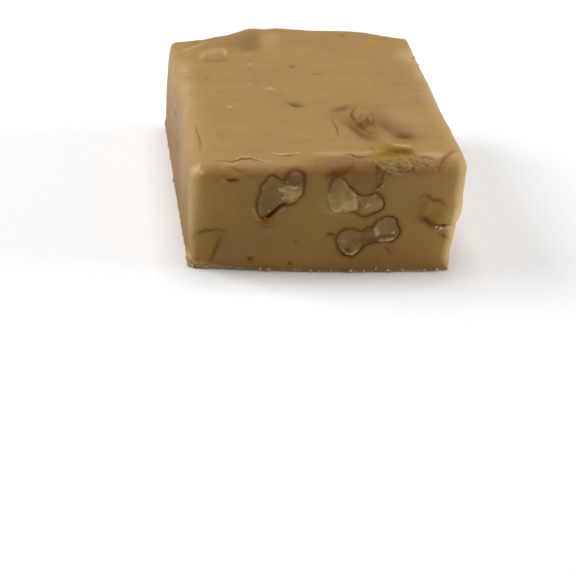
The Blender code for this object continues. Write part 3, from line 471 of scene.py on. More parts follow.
# Walnuts cut through by the knife: their wall, how deep they reach, and the outline of the cut
CUT_WALNUTS = {
    "walnut_front_heart": ("front", 5.2, [
        (-14.2, 15.4), (-13.8, 17.8), (-13.3, 20.7), (-12.7, 22), (-11.3, 22.9), (-10.1, 22.3),
        (-8.9, 21.6), (-8.6, 22.7), (-8.1, 23.5), (-6.9, 23.7), (-5.7, 23.6), (-5, 23),
        (-4.8, 21.8), (-4.8, 19.6), (-5.4, 17.8), (-6.8, 16.4), (-8.1, 16.1), (-9.2, 15.9),
        (-10, 14.9), (-11, 13.6), (-12.3, 12.8), (-13.5, 13.6)]),
    "walnut_front_fork": ("front", 5.6, [
        (0.2, 19.4), (0.4, 21.3), (0.8, 22.6), (2, 23.1), (3.1, 22.4), (4.6, 20.6), (5.7, 19.4),
        (6.9, 18.7), (8.3, 18.7), (10, 19), (11.1, 18.4), (11.9, 16.9), (11.9, 15.4), (10.3, 14.4),
        (8.5, 13.6), (7, 13.8), (5.9, 14.4), (4.2, 14.4), (2.3, 14.5), (0.9, 15.6), (0, 17.3)]),
    "walnut_front_bone": ("front", 4.6, [
        (2.8, 8.5), (3.4, 10), (4.6, 10.6), (6.1, 10.7), (7.6, 10.2), (8.8, 10.8), (10.1, 11.2),
        (11, 12.6), (12.2, 13.4), (13.9, 13.7), (15, 12.8), (15.8, 11.1), (16, 9.6), (15.4, 8.1),
        (14.4, 7.6), (12.9, 7.4), (11.6, 7.4), (10.4, 7.1), (9.1, 6.7), (8.4, 5.7), (7.6, 4.5),
        (6.4, 3.8), (4.8, 4.5), (3.6, 5.7), (3, 7)]),
    "walnut_right_edge": ("front", 5.4, [
        (18.7, 15.7), (19.1, 17.7), (20.6, 18), (23.3, 16.8), (26, 15.5), (29, 15.6), (29.4, 12.5),
        (28.4, 11.1), (25.2, 11.2), (22.3, 11.9), (19.8, 13.5)]),
    "walnut_left_foot": ("front", 4.4, [
        (-27.6, 5.3), (-26.4, 7.9), (-24.5, 9.8), (-22.1, 9.9), (-20.8, 8.2), (-21.3, 5.6),
        (-22.4, 3.2), (-24.6, 2.2), (-27.4, 2.8)]),
    "walnut_right_long": ("right", 5, [
        (-13.5, 8.4), (-12.2, 11), (-9.4, 12.5), (-6.4, 12), (-4.4, 12.9), (-1.6, 13.9),
        (0.8, 12.9), (0.9, 10.6), (-1.2, 9.2), (-3.8, 9), (-5.6, 7.2), (-8.6, 6.4), (-11.6, 6.4)]),
    "walnut_right_curl": ("right", 5, [
        (7.8, 15.2), (8.2, 18.4), (10.6, 20.3), (13.8, 20.3), (16.3, 18.4), (16.3, 15.4),
        (14.4, 14.3), (12.7, 15.6), (11.6, 14.4), (10, 13)]),
    "walnut_right_low": ("right", 4.2, [
        (12.4, 4.6), (13.4, 6.8), (15.8, 7.9), (18, 7), (20.4, 6.9), (21.3, 4.8), (19.4, 3.2),
        (15.4, 2.6)]),
    "walnut_back_wing": ("back", 5.4, [
        (-15.6, 11), (-15.2, 14.2), (-12.8, 16.4), (-10.2, 15.4), (-8.4, 16.8), (-5.4, 17.4),
        (-3.4, 15), (-4.2, 12.4), (-7, 11.6), (-9.2, 10.6), (-10.6, 8.4), (-13.6, 8.2)]),
    "walnut_back_round": ("back", 5, [
        (4.4, 8.6), (4.9, 11.6), (7.2, 13.5), (9.4, 12.6), (11.8, 12.8), (13, 10.2), (12, 7.4),
        (9.4, 6.6), (7, 5.4)]),
    "walnut_back_sliver": ("back", 4, [
        (14.4, 17.2), (16.2, 19.4), (19.2, 19.6), (21.6, 20.6), (23.2, 18.6), (20.8, 17.4),
        (17.6, 16.2)]),
}

# The dry film and its painted sheen on the left cut are full above the upper height and gone below
# the lower one, where the cut takes the darker cut colour as painted shade
FILM_FULL = 21 * MM
FILM_GONE = 9 * MM

# Shape of a cutter or a cut walnut: how far outside its wall it starts, how many steps there are
# between two corners of its outline, and its depth and width at each ring, as shares
PLUG_OUTSIDE = 2.5 * MM
CURVE_STEPS = 12
PLUG_RINGS = [(0.25, 1.0), (0.62, 0.84), (0.84, 0.60), (0.97, 0.28)]

# How wide the gap round a cut walnut is, in millimetres, and where it is wider, as swellings
GAP = 0.03
GAP_CHANGES = {
    "front": [
        (-10.2, 14.6, 2.2, 0.8, 0.12, 52, 1.5), (6, 4, 1.6, 0.9, 0.06), (8.6, 5.8, 1, 1, 0.1),
    ],
    "right": [(-9, 6.6, 3, 1, 0.25), (12.4, 15, 2, 1.6, 0.25)],
    "back": [(-10, 9.4, 1.6, 1.8, 0.3, 60), (9, 6.2, 2, 1, 0.15)],
}

# Walnuts that lie under a thin smear of fudge, which shows on them in place of their flesh
FILMED_WALNUTS = ("walnut_right_edge", "walnut_left_foot")
FILMED_GAP = 0.01

# How uneven a cut walnut's edge is, as size and reach in millimetres
OUTLINE_WANDER = [(1.5, 0.28), (0.6, 0.12)]

# How far the walnut's skin stains the fudge round it, how far round the walnut the stain is worked
# out, in millimetres, and how much a point has to belong to the wall
HALO_WIDTH = 0.46
HALO_REACH = 1.5
HALO_PART = 0.5

# Where the brown rim of a cut walnut is fainter, from 0 to 1
FAINT_RIMS = {
    "front": [
        (2.2, 15.2, 3.6, 2.2, 1, -20, 2), (0, 18, 1.3, 2.2, 1, 0, 2), (3.2, 8, 0.9, 2.2, 0.35),
        (6.4, 10.8, 1, 0.7, 0.3), (-13.6, 13.4, 0.8, 0.8, 0.4), (13.4, 7.3, 2, 0.6, 0.55, 10),
        (-5.6, 17.4, 1, 0.8, 0.5, 40), (3.6, 22, 0.6, 0.8, 0.3, -45),
    ],
    "right": [(-12.6, 7.4, 2, 2, 0.7), (16.4, 17, 1.2, 2, 0.6)],
    "back": [(-15.4, 12.4, 1.4, 2.4, 0.7), (12.6, 9, 1.4, 2, 0.6)],
}

# The shaded seam round a walnut: how deep in millimetres it starts, over what depth it comes in,
# the lowest place for one, how far it fades where the rim is faint and near the rim kernel, and how
# many times the kernel's size counts as near
SEAM_START = 0.04
SEAM_RANGE = 0.12
SEAM_LOWEST = 0.2 * MM
SEAM_FADE = 0.8
NEAR_RIM_KERNEL = 1.6

# Relief of the walnuts' cut faces
NUT_SWELLS = {
    "front": [
        (-7.4, 19.7, 2.4, 1.4, 0.34, 10, 1.5), (-7.7, 17.9, 1.2, 1.3, 0.3, 0, 1.5),
        (-11.4, 18.2, 3.6, 1.7, -0.2, 76, 1.5), (-6.8, 23, 1.2, 0.9, 0.25, 0, 1.5),
        (2.8, 17.6, 2.6, 2.8, 0.36, -20, 1.5), (5.4, 17.8, 2.4, 0.6, 0.35, -72, 1.5),
        (9, 16.2, 2.4, 1.5, 0.22, 0, 1.5), (6.9, 16, 0.5, 1.8, -0.3, -10),
        (5.9, 4.9, 1.5, 0.5, 0.38, 5, 1.5), (5.5, 5.7, 0.7, 0.4, -0.2),
        (11, 10.2, 0.7, 1.5, 0.35, 10, 1.5), (6.2, 8.3, 2.2, 1.4, -0.2, 10, 1.5),
        (13.3, 8, 1.9, 0.5, 0.4, 10, 1.5), (13.8, 11.4, 1.4, 1.4, -0.15, 0, 1.5),
    ],
    "right": [
        (-9.2, 9.8, 2.6, 1.5, 0.32, 10, 1.5), (-1.6, 11.5, 1.6, 1.1, 0.25, 0, 1.5),
        (-4.8, 10, 0.5, 1.8, -0.3, -10), (14.6, 17.4, 1.4, 1.8, 0.3, 10, 1.5),
        (10.4, 17.6, 1.5, 2.4, -0.2, 0, 1.5), (17.2, 5.2, 2.6, 0.9, 0.28, 5, 1.5),
    ],
    "back": [
        (-6.8, 14.8, 2, 1.3, 0.32, 20, 1.5), (-12.6, 12.2, 1.6, 2.4, -0.2, 10, 1.5),
        (-9.4, 13, 0.5, 1.6, -0.25), (8.6, 9.8, 2.4, 1.8, 0.32, 0, 1.5),
        (19.4, 18.4, 2.6, 0.8, 0.25, 8, 1.5),
    ],
}
NUT_WAVES = [(2.6, 0.16), (1.1, 0.08), (0.5, 0.03)]
NUT_SINK = 0.05
NUT_CRUMBLE = 0.11

# How deep a walnut's cut face counts as one, and in millimetres how far its edge is rounded. The
# face's edge and rim are marked where a point belongs to the face by more than these shares
FACE_DEPTH = 0.3 * MM
FACE_ROUNDING = 0.5
EDGE_PART = 0.5
RIM_PART = 0.2

# Colour marks on the walnuts' cut faces, as on the fudge. Pale flesh is also crumbly
NUT_MARKS = {
    "pale": {
        "front": [
            ([(-9.2, 20.3), (-7.6, 20.5), (-5.6, 20.3)], 0.42, 0.65),
            ([(-9.4, 19.3), (-8.4, 19.5), (-7, 19.2)], 0.32, 0.6),
            ([(-9, 17.9), (-8.5, 18.7)], 0.35, 0.85),
            ([(-7.6, 18.1), (-6.3, 18.7), (-5.5, 19.4)], 0.4, 0.5),
            (-7.2, 18.6, 1.6, 1.6, 0.36, 30, 2), (-9.4, 19.8, 0.6, 0.4, 0.8, 0, 1.5),
            (-12.2, 13.1, 0.45, 0.35, 0.9, 0, 2), (-11.2, 13.4, 0.35, 0.3, 0.8, 0, 2),
            (-11.4, 14.5, 0.3, 0.25, 0.7, 0, 2), (-8.4, 21.5, 0.45, 0.25, 0.7, 0, 2),
            (-11.3, 22.4, 0.4, 0.25, 0.5, 0, 2), (-6.9, 23.2, 0.8, 0.35, 0.45, 0, 1.5),
            (8.6, 16.3, 0.9, 0.6, 0.7, 30, 1.5), (4, 8.9, 0.4, 0.3, 0.6, 0, 2),
            (14.8, 9.6, 0.7, 0.35, 0.9, -30, 2),
            ([(2.6, 15.2), (3.8, 16.3), (5, 17.1)], 0.34, 0.78),
            ([(4, 20.4), (5, 18.9), (5.5, 17.6)], 0.3, 0.35), ([(5.2, 17.4), (6, 15.6)], 0.38, 0.6),
            ([(4, 15.8), (5.2, 15.3)], 0.3, 0.6), ([(-0.1, 18.5), (1.4, 18.5)], 0.28, 0.65),
            (2, 16.2, 1.6, 0.9, 0.38, -10, 1.5), (3.6, 17.4, 1.4, 0.8, 0.32, 20, 1.5),
            ([(10.6, 11.5), (11, 10.2), (11.2, 9.2)], 0.5, 0.9),
            ([(4.6, 5.5), (5.4, 4.8), (6.5, 4.6), (7.3, 5.3)], 0.42, 1),
            ([(11.8, 7.9), (12.6, 8.1), (13.4, 8.2), (14.6, 8.3)], 0.55, 0.95),
            ([(7.2, 6.8), (8.3, 7)], 0.35, 0.5),
        ],
        "right": [
            ([(-11.2, 9), (-9.6, 10.4), (-7.6, 10.8)], 0.45, 0.7),
            ([(-10, 8.4), (-8.4, 9), (-7.2, 9.8)], 0.35, 0.55),
            ([(-2.4, 11.2), (-1.2, 12.2), (-0.4, 11.6)], 0.4, 0.6),
            ([(13.6, 18.8), (14.8, 17.6), (15.2, 16.2)], 0.45, 0.75),
            (9.2, 14.8, 0.6, 0.35, 0.6, 20, 1.5), ([(15.2, 4.4), (17, 5), (18.8, 5.6)], 0.4, 0.7),
            (14.6, 5.9, 0.5, 0.3, 0.5, 0, 1.5),
        ],
        "back": [
            ([(-8.6, 14.6), (-6.8, 15.4), (-5.2, 15.2)], 0.45, 0.75),
            ([(-7.6, 13.2), (-6.2, 13.6)], 0.35, 0.55), (-13.8, 12.6, 0.6, 0.4, 0.5, 0, 1.5),
            ([(7, 8.2), (8.6, 9.4), (9.8, 10.8)], 0.5, 0.75), ([(8.8, 8), (10.2, 9)], 0.35, 0.5),
            ([(17.6, 18), (19.6, 18.4), (21.4, 19.2)], 0.4, 0.65),
        ],
    },
    "haze": {
        "front": [
            ([(-0.5, 18.6), (1.5, 18.6)], 0.35, 0.6), ([(0.2, 17.7), (1.9, 17.4)], 0.3, 0.6),
            ([(2.4, 15.1), (3.8, 16.3), (5.3, 17.5)], 0.6, 0.75),
            ([(3.9, 15.9), (5.3, 15.3)], 0.4, 0.55), ([(5.1, 16.9), (6.2, 15.3)], 0.5, 0.7),
            ([(1.2, 15.6), (2.6, 14.8)], 0.4, 0.6),
            ([(3.2, 21.5), (4.8, 19.4), (5.6, 18.4)], 0.4, 0.4), (3, 16.4, 3, 2.2, 0.26, 0, 1.5),
            (2.4, 20.2, 1.6, 2, 0.12), (9.4, 16.4, 2.4, 1.8, 0.3),
            (-7.2, 19.2, 2.5, 1.9, 0.38, 0, 1.5),
            ([(-7.9, 23), (-6.8, 23.2), (-5.8, 23)], 0.35, 0.45), (13.4, 11.2, 2.4, 2.2, 0.22),
            (6, 7.6, 3.2, 2.6, 0.14), (4.8, 7.6, 0.8, 0.6, 0.25),
        ],
        "right": [
            (-9.2, 9.6, 3, 1.6, 0.5, 15, 1.5), (-1.4, 11.6, 2, 1.3, 0.4),
            (14.6, 17.4, 1.6, 2, 0.5, 0, 1.5), (17, 5.2, 2.8, 1.2, 0.4, 5),
        ],
        "back": [
            (-6.8, 14.8, 2.4, 1.6, 0.5, 20, 1.5), (8.6, 9.6, 3, 2.2, 0.4),
            (19.4, 18.4, 2.8, 1, 0.4, 8),
        ],
    },
    "green": {
        "front": [
            (2.8, 16.9, 3.4, 3.2, 0.75, 0, 1.5), (2, 21, 1.2, 1.6, 0.18),
            ([(7, 17.6), (7.3, 15.6), (7.2, 14.4)], 0.7, 0.4), (10.2, 16.4, 1.6, 1.6, 0.12, 0, 1.5),
        ],
        "right": [(-3, 11, 3, 1.4, 0.5, 0, 1.5), (17, 5.2, 4, 3, 0.5, 0, 2)],
        "back": [(19, 18.4, 5, 3, 0.6, 0, 2)],
    },
    # Brown marks: flesh stained by the skin, and painted shade in the hollows of the cut faces
    "rust": {
        "front": [
            (9.4, 7.8, 2.4, 1, 0.75, 12, 1.5), (6, 7.4, 1.8, 1.6, 0.25),
            (13.6, 11.6, 1.4, 1.6, 0.2), (-6.8, 22.2, 1.9, 1.6, 1, 0, 1.5),
            (-11.6, 18, 3.6, 1.8, 0.22, 76, 1.5), (-12.2, 14.4, 1, 1.6, 0.25),
            (1.8, 22.4, 1.4, 0.7, 0.35),
        ],
        "right": [(10.6, 17.4, 1.4, 2, 0.5)],
        "back": [(5.6, 10.4, 1.4, 1.8, 0.5)],
    },
    # Dark marks: painted shade in the heart walnut's slit and in the grooves and pits of the cut
    # faces, and lines of brown skin
    "dark": {
        "front": [
            ([(-9.4, 18.6), (-8.7, 18.4)], 0.3, 0.7), (5.5, 5.7, 0.6, 0.4, 0.5),
            (HEART_SLIT, 0.42, 1), ([(10, 8.2), (11.1, 7.7)], 0.4, 0.6),
            ([(0.5, 18.6), (1.6, 18.6)], 0.25, 0.35),
            ([(5.9, 18.6), (6.8, 17), (7, 15.4), (6.5, 14.4)], 0.28, 0.4),
            ([(-9.6, 17.2), (-8.8, 16.8)], 0.25, 0.5),
            ([(-8.6, 21), (-8.3, 22.9), (-7.1, 23.6), (-5.8, 23.5), (-5.1, 22.6),
              (-4.9, 20.4)], 0.38, 0.75),
            (10.2, 12, 0.4, 0.3, 0.5), ([(7.6, 9.6), (8.8, 9.9), (9.8, 10.4)], 0.3, 0.3),
        ],
        "right": [
            ([(-5.4, 11.4), (-4.8, 10.2), (-4.9, 8.6)], 0.28, 0.4), (11.8, 16.4, 0.5, 0.8, 0.5),
        ],
        "back": [
            ([(-9.8, 14.8), (-9.4, 13.2), (-9.6, 11.6)], 0.28, 0.4), (6.4, 11.2, 0.6, 0.4, 0.45),
        ],
    },
}

# The kernel that stands out of the top is a round head with a low tail towards the front.
# Each is an egg: its centre over the top, its half sizes and its turn in degrees. They are blended
# round a point inside them, and the top's height is found from a place above it all
TOP_HEAD = ((9.9, -9.4, -1.35), (2.4, 4.5, 2.9), 6)
TOP_TAIL = ((11.1, -14.4, -1.3), (1.7, 5, 1.75), 14)
TOP_INSIDE = (10.4, -10.6, -0.6)
HEAD_TAIL_BLEND = 4
ABOVE_ALL = 100
KERNEL_WAVES = [(1.8, 0.24), (0.9, 0.13), (0.4, 0.05)]

# Colour marks on the kernels in the top, seen from above. The dark and orange marks across the lower
# front of the top kernel's head are painted shade
KERNEL_MARKS = {
    "dark": [
        ([(8.8, -6.8), (9.9, -6.3), (11.1, -6.8)], 0.4, 0.35),
        ([(8.4, -13.2), (9.6, -13.8), (10.8, -13)], 0.6, 0.5),
        ([(8.9, -11.4), (9.6, -10.8)], 0.3, 0.35), ([(10.2, -12.6), (10.6, -11.6)], 0.3, 0.35),
        (15.8, -24, 1.4, 0.6, 0.35),
    ],
    "rust": [
        ([(7.9, -8.4), (8.6, -7), (9.9, -6.3), (11.1, -6.8), (11.8, -8.4)], 0.6, 1),
        ([(11.9, -8.4), (12.1, -10.2), (11.6, -12.4)], 0.6, 0.4), (10, -9, 2.2, 3, 0.22),
        ([(7.8, -8.4), (7.6, -10.4), (8.2, -12.6)], 0.5, 0.5), (9.7, -13, 2.2, 1, 0.8),
        ([(10.8, -12.6), (11.6, -14)], 0.8, 0.55), (9.6, -16.4, 1.6, 2.6, 0.6),
        ([(9.2, -8.4), (10.4, -9.2), (11.2, -10.4)], 0.35, 0.25), (17.8, -24.4, 1.2, 1.4, 0.5),
    ],
    "olive": [
        ([(8.4, -12.2), (9.2, -11.4)], 0.45, 0.6), ([(10, -12.6), (10.8, -11.6)], 0.45, 0.6),
        (10.2, -9.2, 1.8, 2.6, 0.28, 0, 1.5), (13, -24.6, 4.6, 4.4, 0.45),
    ],
    "moss": [
        (13.6, -24.2, 4.4, 2.6, 0.5), (16, -24, 2.6, 1.1, 0.65),
        ([(10.4, -25.6), (12.4, -25.2), (14, -25.8)], 0.5, 0.3),
        ([(12.4, -20.8), (13.8, -22.4)], 0.5, 0.4),
    ],
    "pale": [(9.6, -9.6, 1, 1.8, 0.08)],
}

# The broken kernel in the front edge of the top
RIM_KERNEL = Vector((13.6, -26, 25.2)) * MM
RIM_KERNEL_SIZE = (4.5 * MM, 5 * MM, 2.1 * MM)
RAGGED_SIZE = 2.6 * MM
RAGGED_SHARE = 0.22

# Its relief, in millimetres. It reaches a little over the edge of its pocket, which hides the seam
RIM_TOP_SWELL = (13.6, -23.6, 4.2, 3, 0.22, 0, 1.5)
RIM_CHUNKS = [(1.5, 0.26), (0.8, 0.14), (0.35, 0.03)]
RIM_FACE_RISE = 0.14
RIM_LOWEST = 0.03
RIM_OVERLAP = 0.22 * MM
RIM_TOP_ROUGH = 0.6

# The front of the rim kernel's yellow top in millimetres. In front of it its broken face begins
RIM_FACE_START = -26.9
RIM_FACE_WAVE = 1.3
RIM_FACE_WANDER = 1.8
RIM_FACE_SOFTNESS = 1.8

# Marks on its broken face: how sharply its peaks stand out, the painted shade in its hollows and
# the painted highlights on its peaks, and how much of the olive is lost
PEAK_CONTRAST = 2
HOLLOW_SHADE_MARKS = {"dark": 0.24, "moss": 0.40}
PEAK_HIGHLIGHT_MARKS = {"pale": 0.30}
OLIVE_LOSS = 0.10

# How finely the kernels and their pockets are made, as times that a sphere is subdivided
POCKET_SUBDIVISIONS = 5
KERNEL_SUBDIVISIONS = 7

# Edges between faces that meet at more than these angles, in degrees, stay sharp
BLOCK_SMOOTH = 42
WALNUT_SMOOTH = 60
CRUMB_SMOOTH = 35

# Crumbs: wall, start and end of the run that they lie along, how far they stray from it, how many
# there are, and the smallest and largest size, all in millimetres
FUDGE_CRUMBS = [
    ("front", (-26, 0.3), (27, 0.3), 0.22, 70, 0.25, 0.7),
    ("front", (-27.2, 2.2), (-26, 0.9), 0.14, 7, 0.4, 0.75),
    ("front", (-26, 0.9), (-22.8, 0.4), 0.16, 9, 0.35, 0.7),
    ("left", (-27, 0.2), (28, 0.2), 0.25, 46, 0.12, 0.45),
    ("left", (25, 2.4), (28.2, 1), 0.5, 16, 0.12, 0.45),
    ("right", (-28, 0.2), (28, 0.2), 0.25, 46, 0.12, 0.45),
    ("back", (-27, 0.2), (27, 0.2), 0.25, 46, 0.12, 0.45),
    ("top", (-18.4, -24.6), (-15, -24.2), 0.22, 9, 0.14, 0.34),
    ("top", (-10.6, -23.5), (-5, -23.3), 0.18, 8, 0.12, 0.26),
    ("front", (23.4, 10.6), (26.4, 10.4), 0.24, 5, 0.55, 0.95),
    ("front", (10.3, 23.4), (10.6, 20.4), 0.35, 5, 0.18, 0.36),
    ("top", (26.6, 14), (26.9, 24), 0.4, 9, 0.12, 0.5),
    ("top", (-27, -26.2), (-25.8, -27), 0.3, 3, 0.18, 0.34),
]
NUT_CRUMBS = [
    ("front", (-8.8, 17.4), (-6.2, 20.6), 0.7, 12, 0.16, 0.4),
    ("front", (-12.4, 13), (-11, 13.1), 0.2, 5, 0.3, 0.6),
    ("front", (1.4, 17.4), (4.8, 16), 0.9, 10, 0.14, 0.34),
    ("front", (4.8, 5), (7, 4.8), 0.25, 9, 0.25, 0.6),
    ("front", (10.7, 9.6), (11, 11.2), 0.3, 7, 0.2, 0.5),
    ("front", (12, 7.9), (15.2, 9.2), 0.3, 12, 0.22, 0.65),
    ("front", (11, 26), (15.4, 25.2), 0.5, 9, 0.28, 0.6),
    ("front", (10.2, 20), (10.3, 20), 0.04, 2, 0.6, 0.75),
    ("right", (-10.6, 9.2), (-7.4, 10), 0.7, 12, 0.12, 0.36),
    ("back", (-8, 14.4), (-5.6, 15.2), 0.6, 10, 0.12, 0.36),
]
CRUMB_SEED = 41
CRUMB_STRETCH = (0.7, 1.3)
CRUMB_SINK = 0.25

# A crumb's middle is at least this share of its size above the floor, and it is dropped on the
# block from this far out, at this height or above
CRUMB_REST = 0.65
CRUMB_FROM = 60 * MM
CRUMB_LOWEST = 0.1
FULL_TURN = 6.28

# The crumbs' shapes: how many, how far apart in the noise they are, their radius and its waves
CRUMB_SHAPES = 6
CRUMB_SPACING = 9.1
CRUMB_RADIUS = 0.5
CRUMB_UNEVEN = 0.32
CRUMB_WAVE = 1.4
CRUMB_ROUGH = 0.04

# The crumbs' finishes: how light each colour is beside the fudge's and the walnuts' own
FUDGE_CRUMB_LIGHT = 1.1
FUDGE_CRUMB_SHADE = 1.4
NUT_CRUMB_LIGHT = 0.8

# The floor's size and height, and each light's place, size and power
FLOOR_SIZE = 6
FLOOR_HEIGHT = -0.05 * MM
LIGHT_AIM = Vector((0, 0, 0.012))
LIGHTS = {
    "left_light": ((-0.86, 0.22, 0.66), 0.55, "key"),
    "right_light": ((1, -0.02, 0.17), 0.45, "rim"),
    "top_light": ((0, 0.15, 1.1), 0.6, "top"),
}

# The camera: its turn, rise and roll in degrees, the point that it looks at and how far it is from
# it, and its lens and sensor in millimetres
CAMERA_TURN = -11.228
CAMERA_RISE = 36.158
CAMERA_ROLL = 6.2436
CAMERA_AIM = Vector((-3.6, -18, -13.1)) * MM
CAMERA_AWAY = 308.7 * MM
CAMERA_LENS = 87.97
CAMERA_SENSOR = 36
CAMERA_NEAR = 0.01


def colour(name, description, value):
    return bpy.props.FloatVectorProperty(
        name=name, description=description, default=value, size=3, min=0, max=1, subtype="COLOR")


def length(name, description, value, low=0.0):
    return bpy.props.FloatProperty(
        name=name, description=description, default=value, min=low, max=1,
        precision=5, subtype="DISTANCE", unit="LENGTH")


def power(name, description, value):
    return bpy.props.FloatProperty(
        name=name, description=description, default=value, min=0, unit="POWER")


def share(name, description, value, high):
    return bpy.props.FloatProperty(
        name=name, description=description, default=value, min=0, max=high, subtype="FACTOR")


class FudgeBlockSizes(bpy.types.PropertyGroup):
    """Sizes of the block before the knife's slips."""

    width: length("Width", "Side to side, before the walls bow", 55 * MM)
    depth: length("Depth", "Front to back, before the walls bow", 57 * MM)
    height: length("Height", "Foot to top, before the corners shift", 24.4 * MM)
    cell: length("Cell", "Width of the cells that the walls are cut into", 0.28 * MM, 0.1 * MM)
    triangles: bpy.props.IntProperty(
        name="Triangles", description="How many triangles the block has before its pockets are cut",
        default=172000, min=2000, max=180000)


class FudgeWalnutSizes(bpy.types.PropertyGroup):
    """How finely the walnuts are made."""

    grain: length("Grain", "Size of the grains of a walnut's surface", 0.14 * MM, 0.1 * MM)
    outline_points: bpy.props.IntProperty(
        name="Outline points", description="Points round the outline of a cut walnut",
        default=150, min=20, max=400)
    triangles: bpy.props.IntProperty(
        name="Triangles", description="How many triangles each cut walnut keeps",
        default=26000, min=500, max=120000)
    kernel_triangles: bpy.props.IntProperty(
        name="Kernel triangles", description="How many triangles each kernel in the top keeps",
        default=60000, min=500, max=180000)


class FudgeColours(bpy.types.PropertyGroup):
    """Colours of the fudge and the walnuts."""

    fudge: colour("Fudge", "The fudge as it shows on top", (0.343, 0.212, 0.078))
    # Painted shade: the cut walls are darker and more saturated than the top, for the shade and the
    # warm bounce light on them
    fudge_shaded_cut: colour("Cut fudge", "The fudge on the front cut", (0.300, 0.168, 0.048))
    # The dry film on the left cut, lighter and greyer for a painted sheen
    fudge_film_and_sheen: colour("Filmed fudge", "The pale dry film on the left cut", (0.400, 0.256, 0.118))
    # Brown stains, and painted shade in pits, cracks and hollows
    fudge_stain_and_shade: colour("Stained fudge", "Brown stains, pits and cracks", (0.100, 0.041, 0.009))
    # Dry crumbs and flakes, and painted highlights on rolled edges, crack lips and lumps
    fudge_dry_and_highlight: colour("Dry fudge", "Dry crumbs and lifted flakes", (0.560, 0.400, 0.200))
    # Also painted shade low on the left cut and in a dent
    fudge_olive: colour("Olive fudge", "Fudge with walnut oil in it", (0.375, 0.207, 0.018))
    # Also painted shade low on the left cut and in a dent
    fudge_moss: colour("Dark olive fudge", "Fudge stained by a walnut's skin", (0.165, 0.086, 0.008))
    # Skin showing through, and painted shade under and beside the lumps and beside the top kernel
    fudge_rust: colour("Orange fudge", "Fudge that skin shines through", (0.270, 0.112, 0.024))
    # Painted light that spills onto the front cut near its edges
    fudge_warm: colour("Warm fudge", "Fudge near the edges of the front cut", (0.440, 0.245, 0.060))
    # A dull sugary tone, and painted highlight on a few ridges
    fudge_pink: colour("Pinkish fudge", "Dull sugary fudge", (0.420, 0.262, 0.135))
    halo: colour("Stained rim", "The brown rim round a cut walnut", (0.155, 0.060, 0.007))
    pocket: colour("Pocket", "The shaded fudge round a walnut", (0.100, 0.043, 0.011))
    flesh: colour("Walnut flesh", "Cut walnut flesh", (0.240, 0.139, 0.041))
    cream: colour("Pale flesh", "Broken walnut flesh", (0.480, 0.325, 0.150))
    green: colour("Green flesh", "Yellow-green walnut flesh", (0.330, 0.222, 0.060))
    # Also painted shade in the hollows of the cut faces
    rust: colour("Brown flesh", "Walnut flesh stained by its skin", (0.185, 0.092, 0.032))
    # Also used for painted shade in the slits, grooves and pits of the cut faces
    skin: colour("Walnut skin", "The walnut's papery skin", (0.120, 0.048, 0.006))


class FudgeStage(bpy.types.PropertyGroup):
    """Floor and light."""

    floor: colour("Floor", "The plain pale floor", (0.86, 0.86, 0.86))
    key: power("Left light", "Soft light from the left", 8.2)
    rim: power("Right light", "Low soft light from the right", 10.0)
    top: power("Top light", "Soft light from above", 7.0)
    sky: share("Sky", "Even light from all round", 0.19, 3)


# The block's shape, worked out on rows of points


def row(values):
    return np.array(values, float)


def read(items, field, width, kind=np.float64):
    """One field of a mesh's vertices, edges or faces, with a row for each."""
    values = np.empty(len(items) * width, kind)
    items.foreach_get(field, values)
    return values.reshape(-1, width)


def points_of(mesh):
    return read(mesh.vertices, "co", 3)


def set_points(mesh, points):
    mesh.vertices.foreach_set("co", points.astype(np.float32).ravel())
    mesh.update()


def normals_of(mesh):
    return read(mesh.vertex_normals, "vector", 3, np.float32).astype(np.float64)


def noise_at(points, size, stretch=(1, 1, 1)):
    """Smooth noise with waves of this size in millimetres, longer where it is stretched."""
    return row([noise.noise(p) for p in (points / (size * MM) / row(stretch)).tolist()])


def waves_at(points, waves):
    """Sum of several noises at each point, given as size and height."""
    return sum(height * noise_at(points, size) for size, height in waves)


def at_worn_corner(points):
    """How much each point belongs to the worn corner, from 0 to 1."""
    away = np.linalg.norm(points - row(WORN_CORNER), axis=1)
    return np.exp(-((away / WEAR_REACH) ** 2))


def rounded(points, sizes):
    """The box's points with its edges rounded, and the outward direction at each."""
    size = row([sizes.width, sizes.depth, sizes.height])
    rightness = 0.5 + points[:, 0] / size[0]
    backness = 0.5 + points[:, 1] / size[1]
    front = FRONT_LEFT_ROUNDING + (FRONT_RIGHT_ROUNDING - FRONT_LEFT_ROUNDING) * rightness
    front -= MIDDLE_SHARPER * np.clip(1 - (2 * rightness - 1) ** 2, 0, 1)
    body = front + (BACK_ROUNDING - front) * backness
    foot = FOOT_ROUNDING + CORNER_WEAR * at_worn_corner(points)
    radius = foot + (body - foot) * np.clip(points[:, 2] / size[2] / FOOT_SHARE, 0, 1)
    low = row([-size[0] / 2, -size[1] / 2, 0])
    high = row([size[0] / 2, size[1] / 2, size[2]])
    core = np.minimum(np.maximum(points, low + radius[:, None]), high - radius[:, None])
    out = points - core
    out /= np.linalg.norm(out, axis=1)[:, None]
    return core + out * radius[:, None]


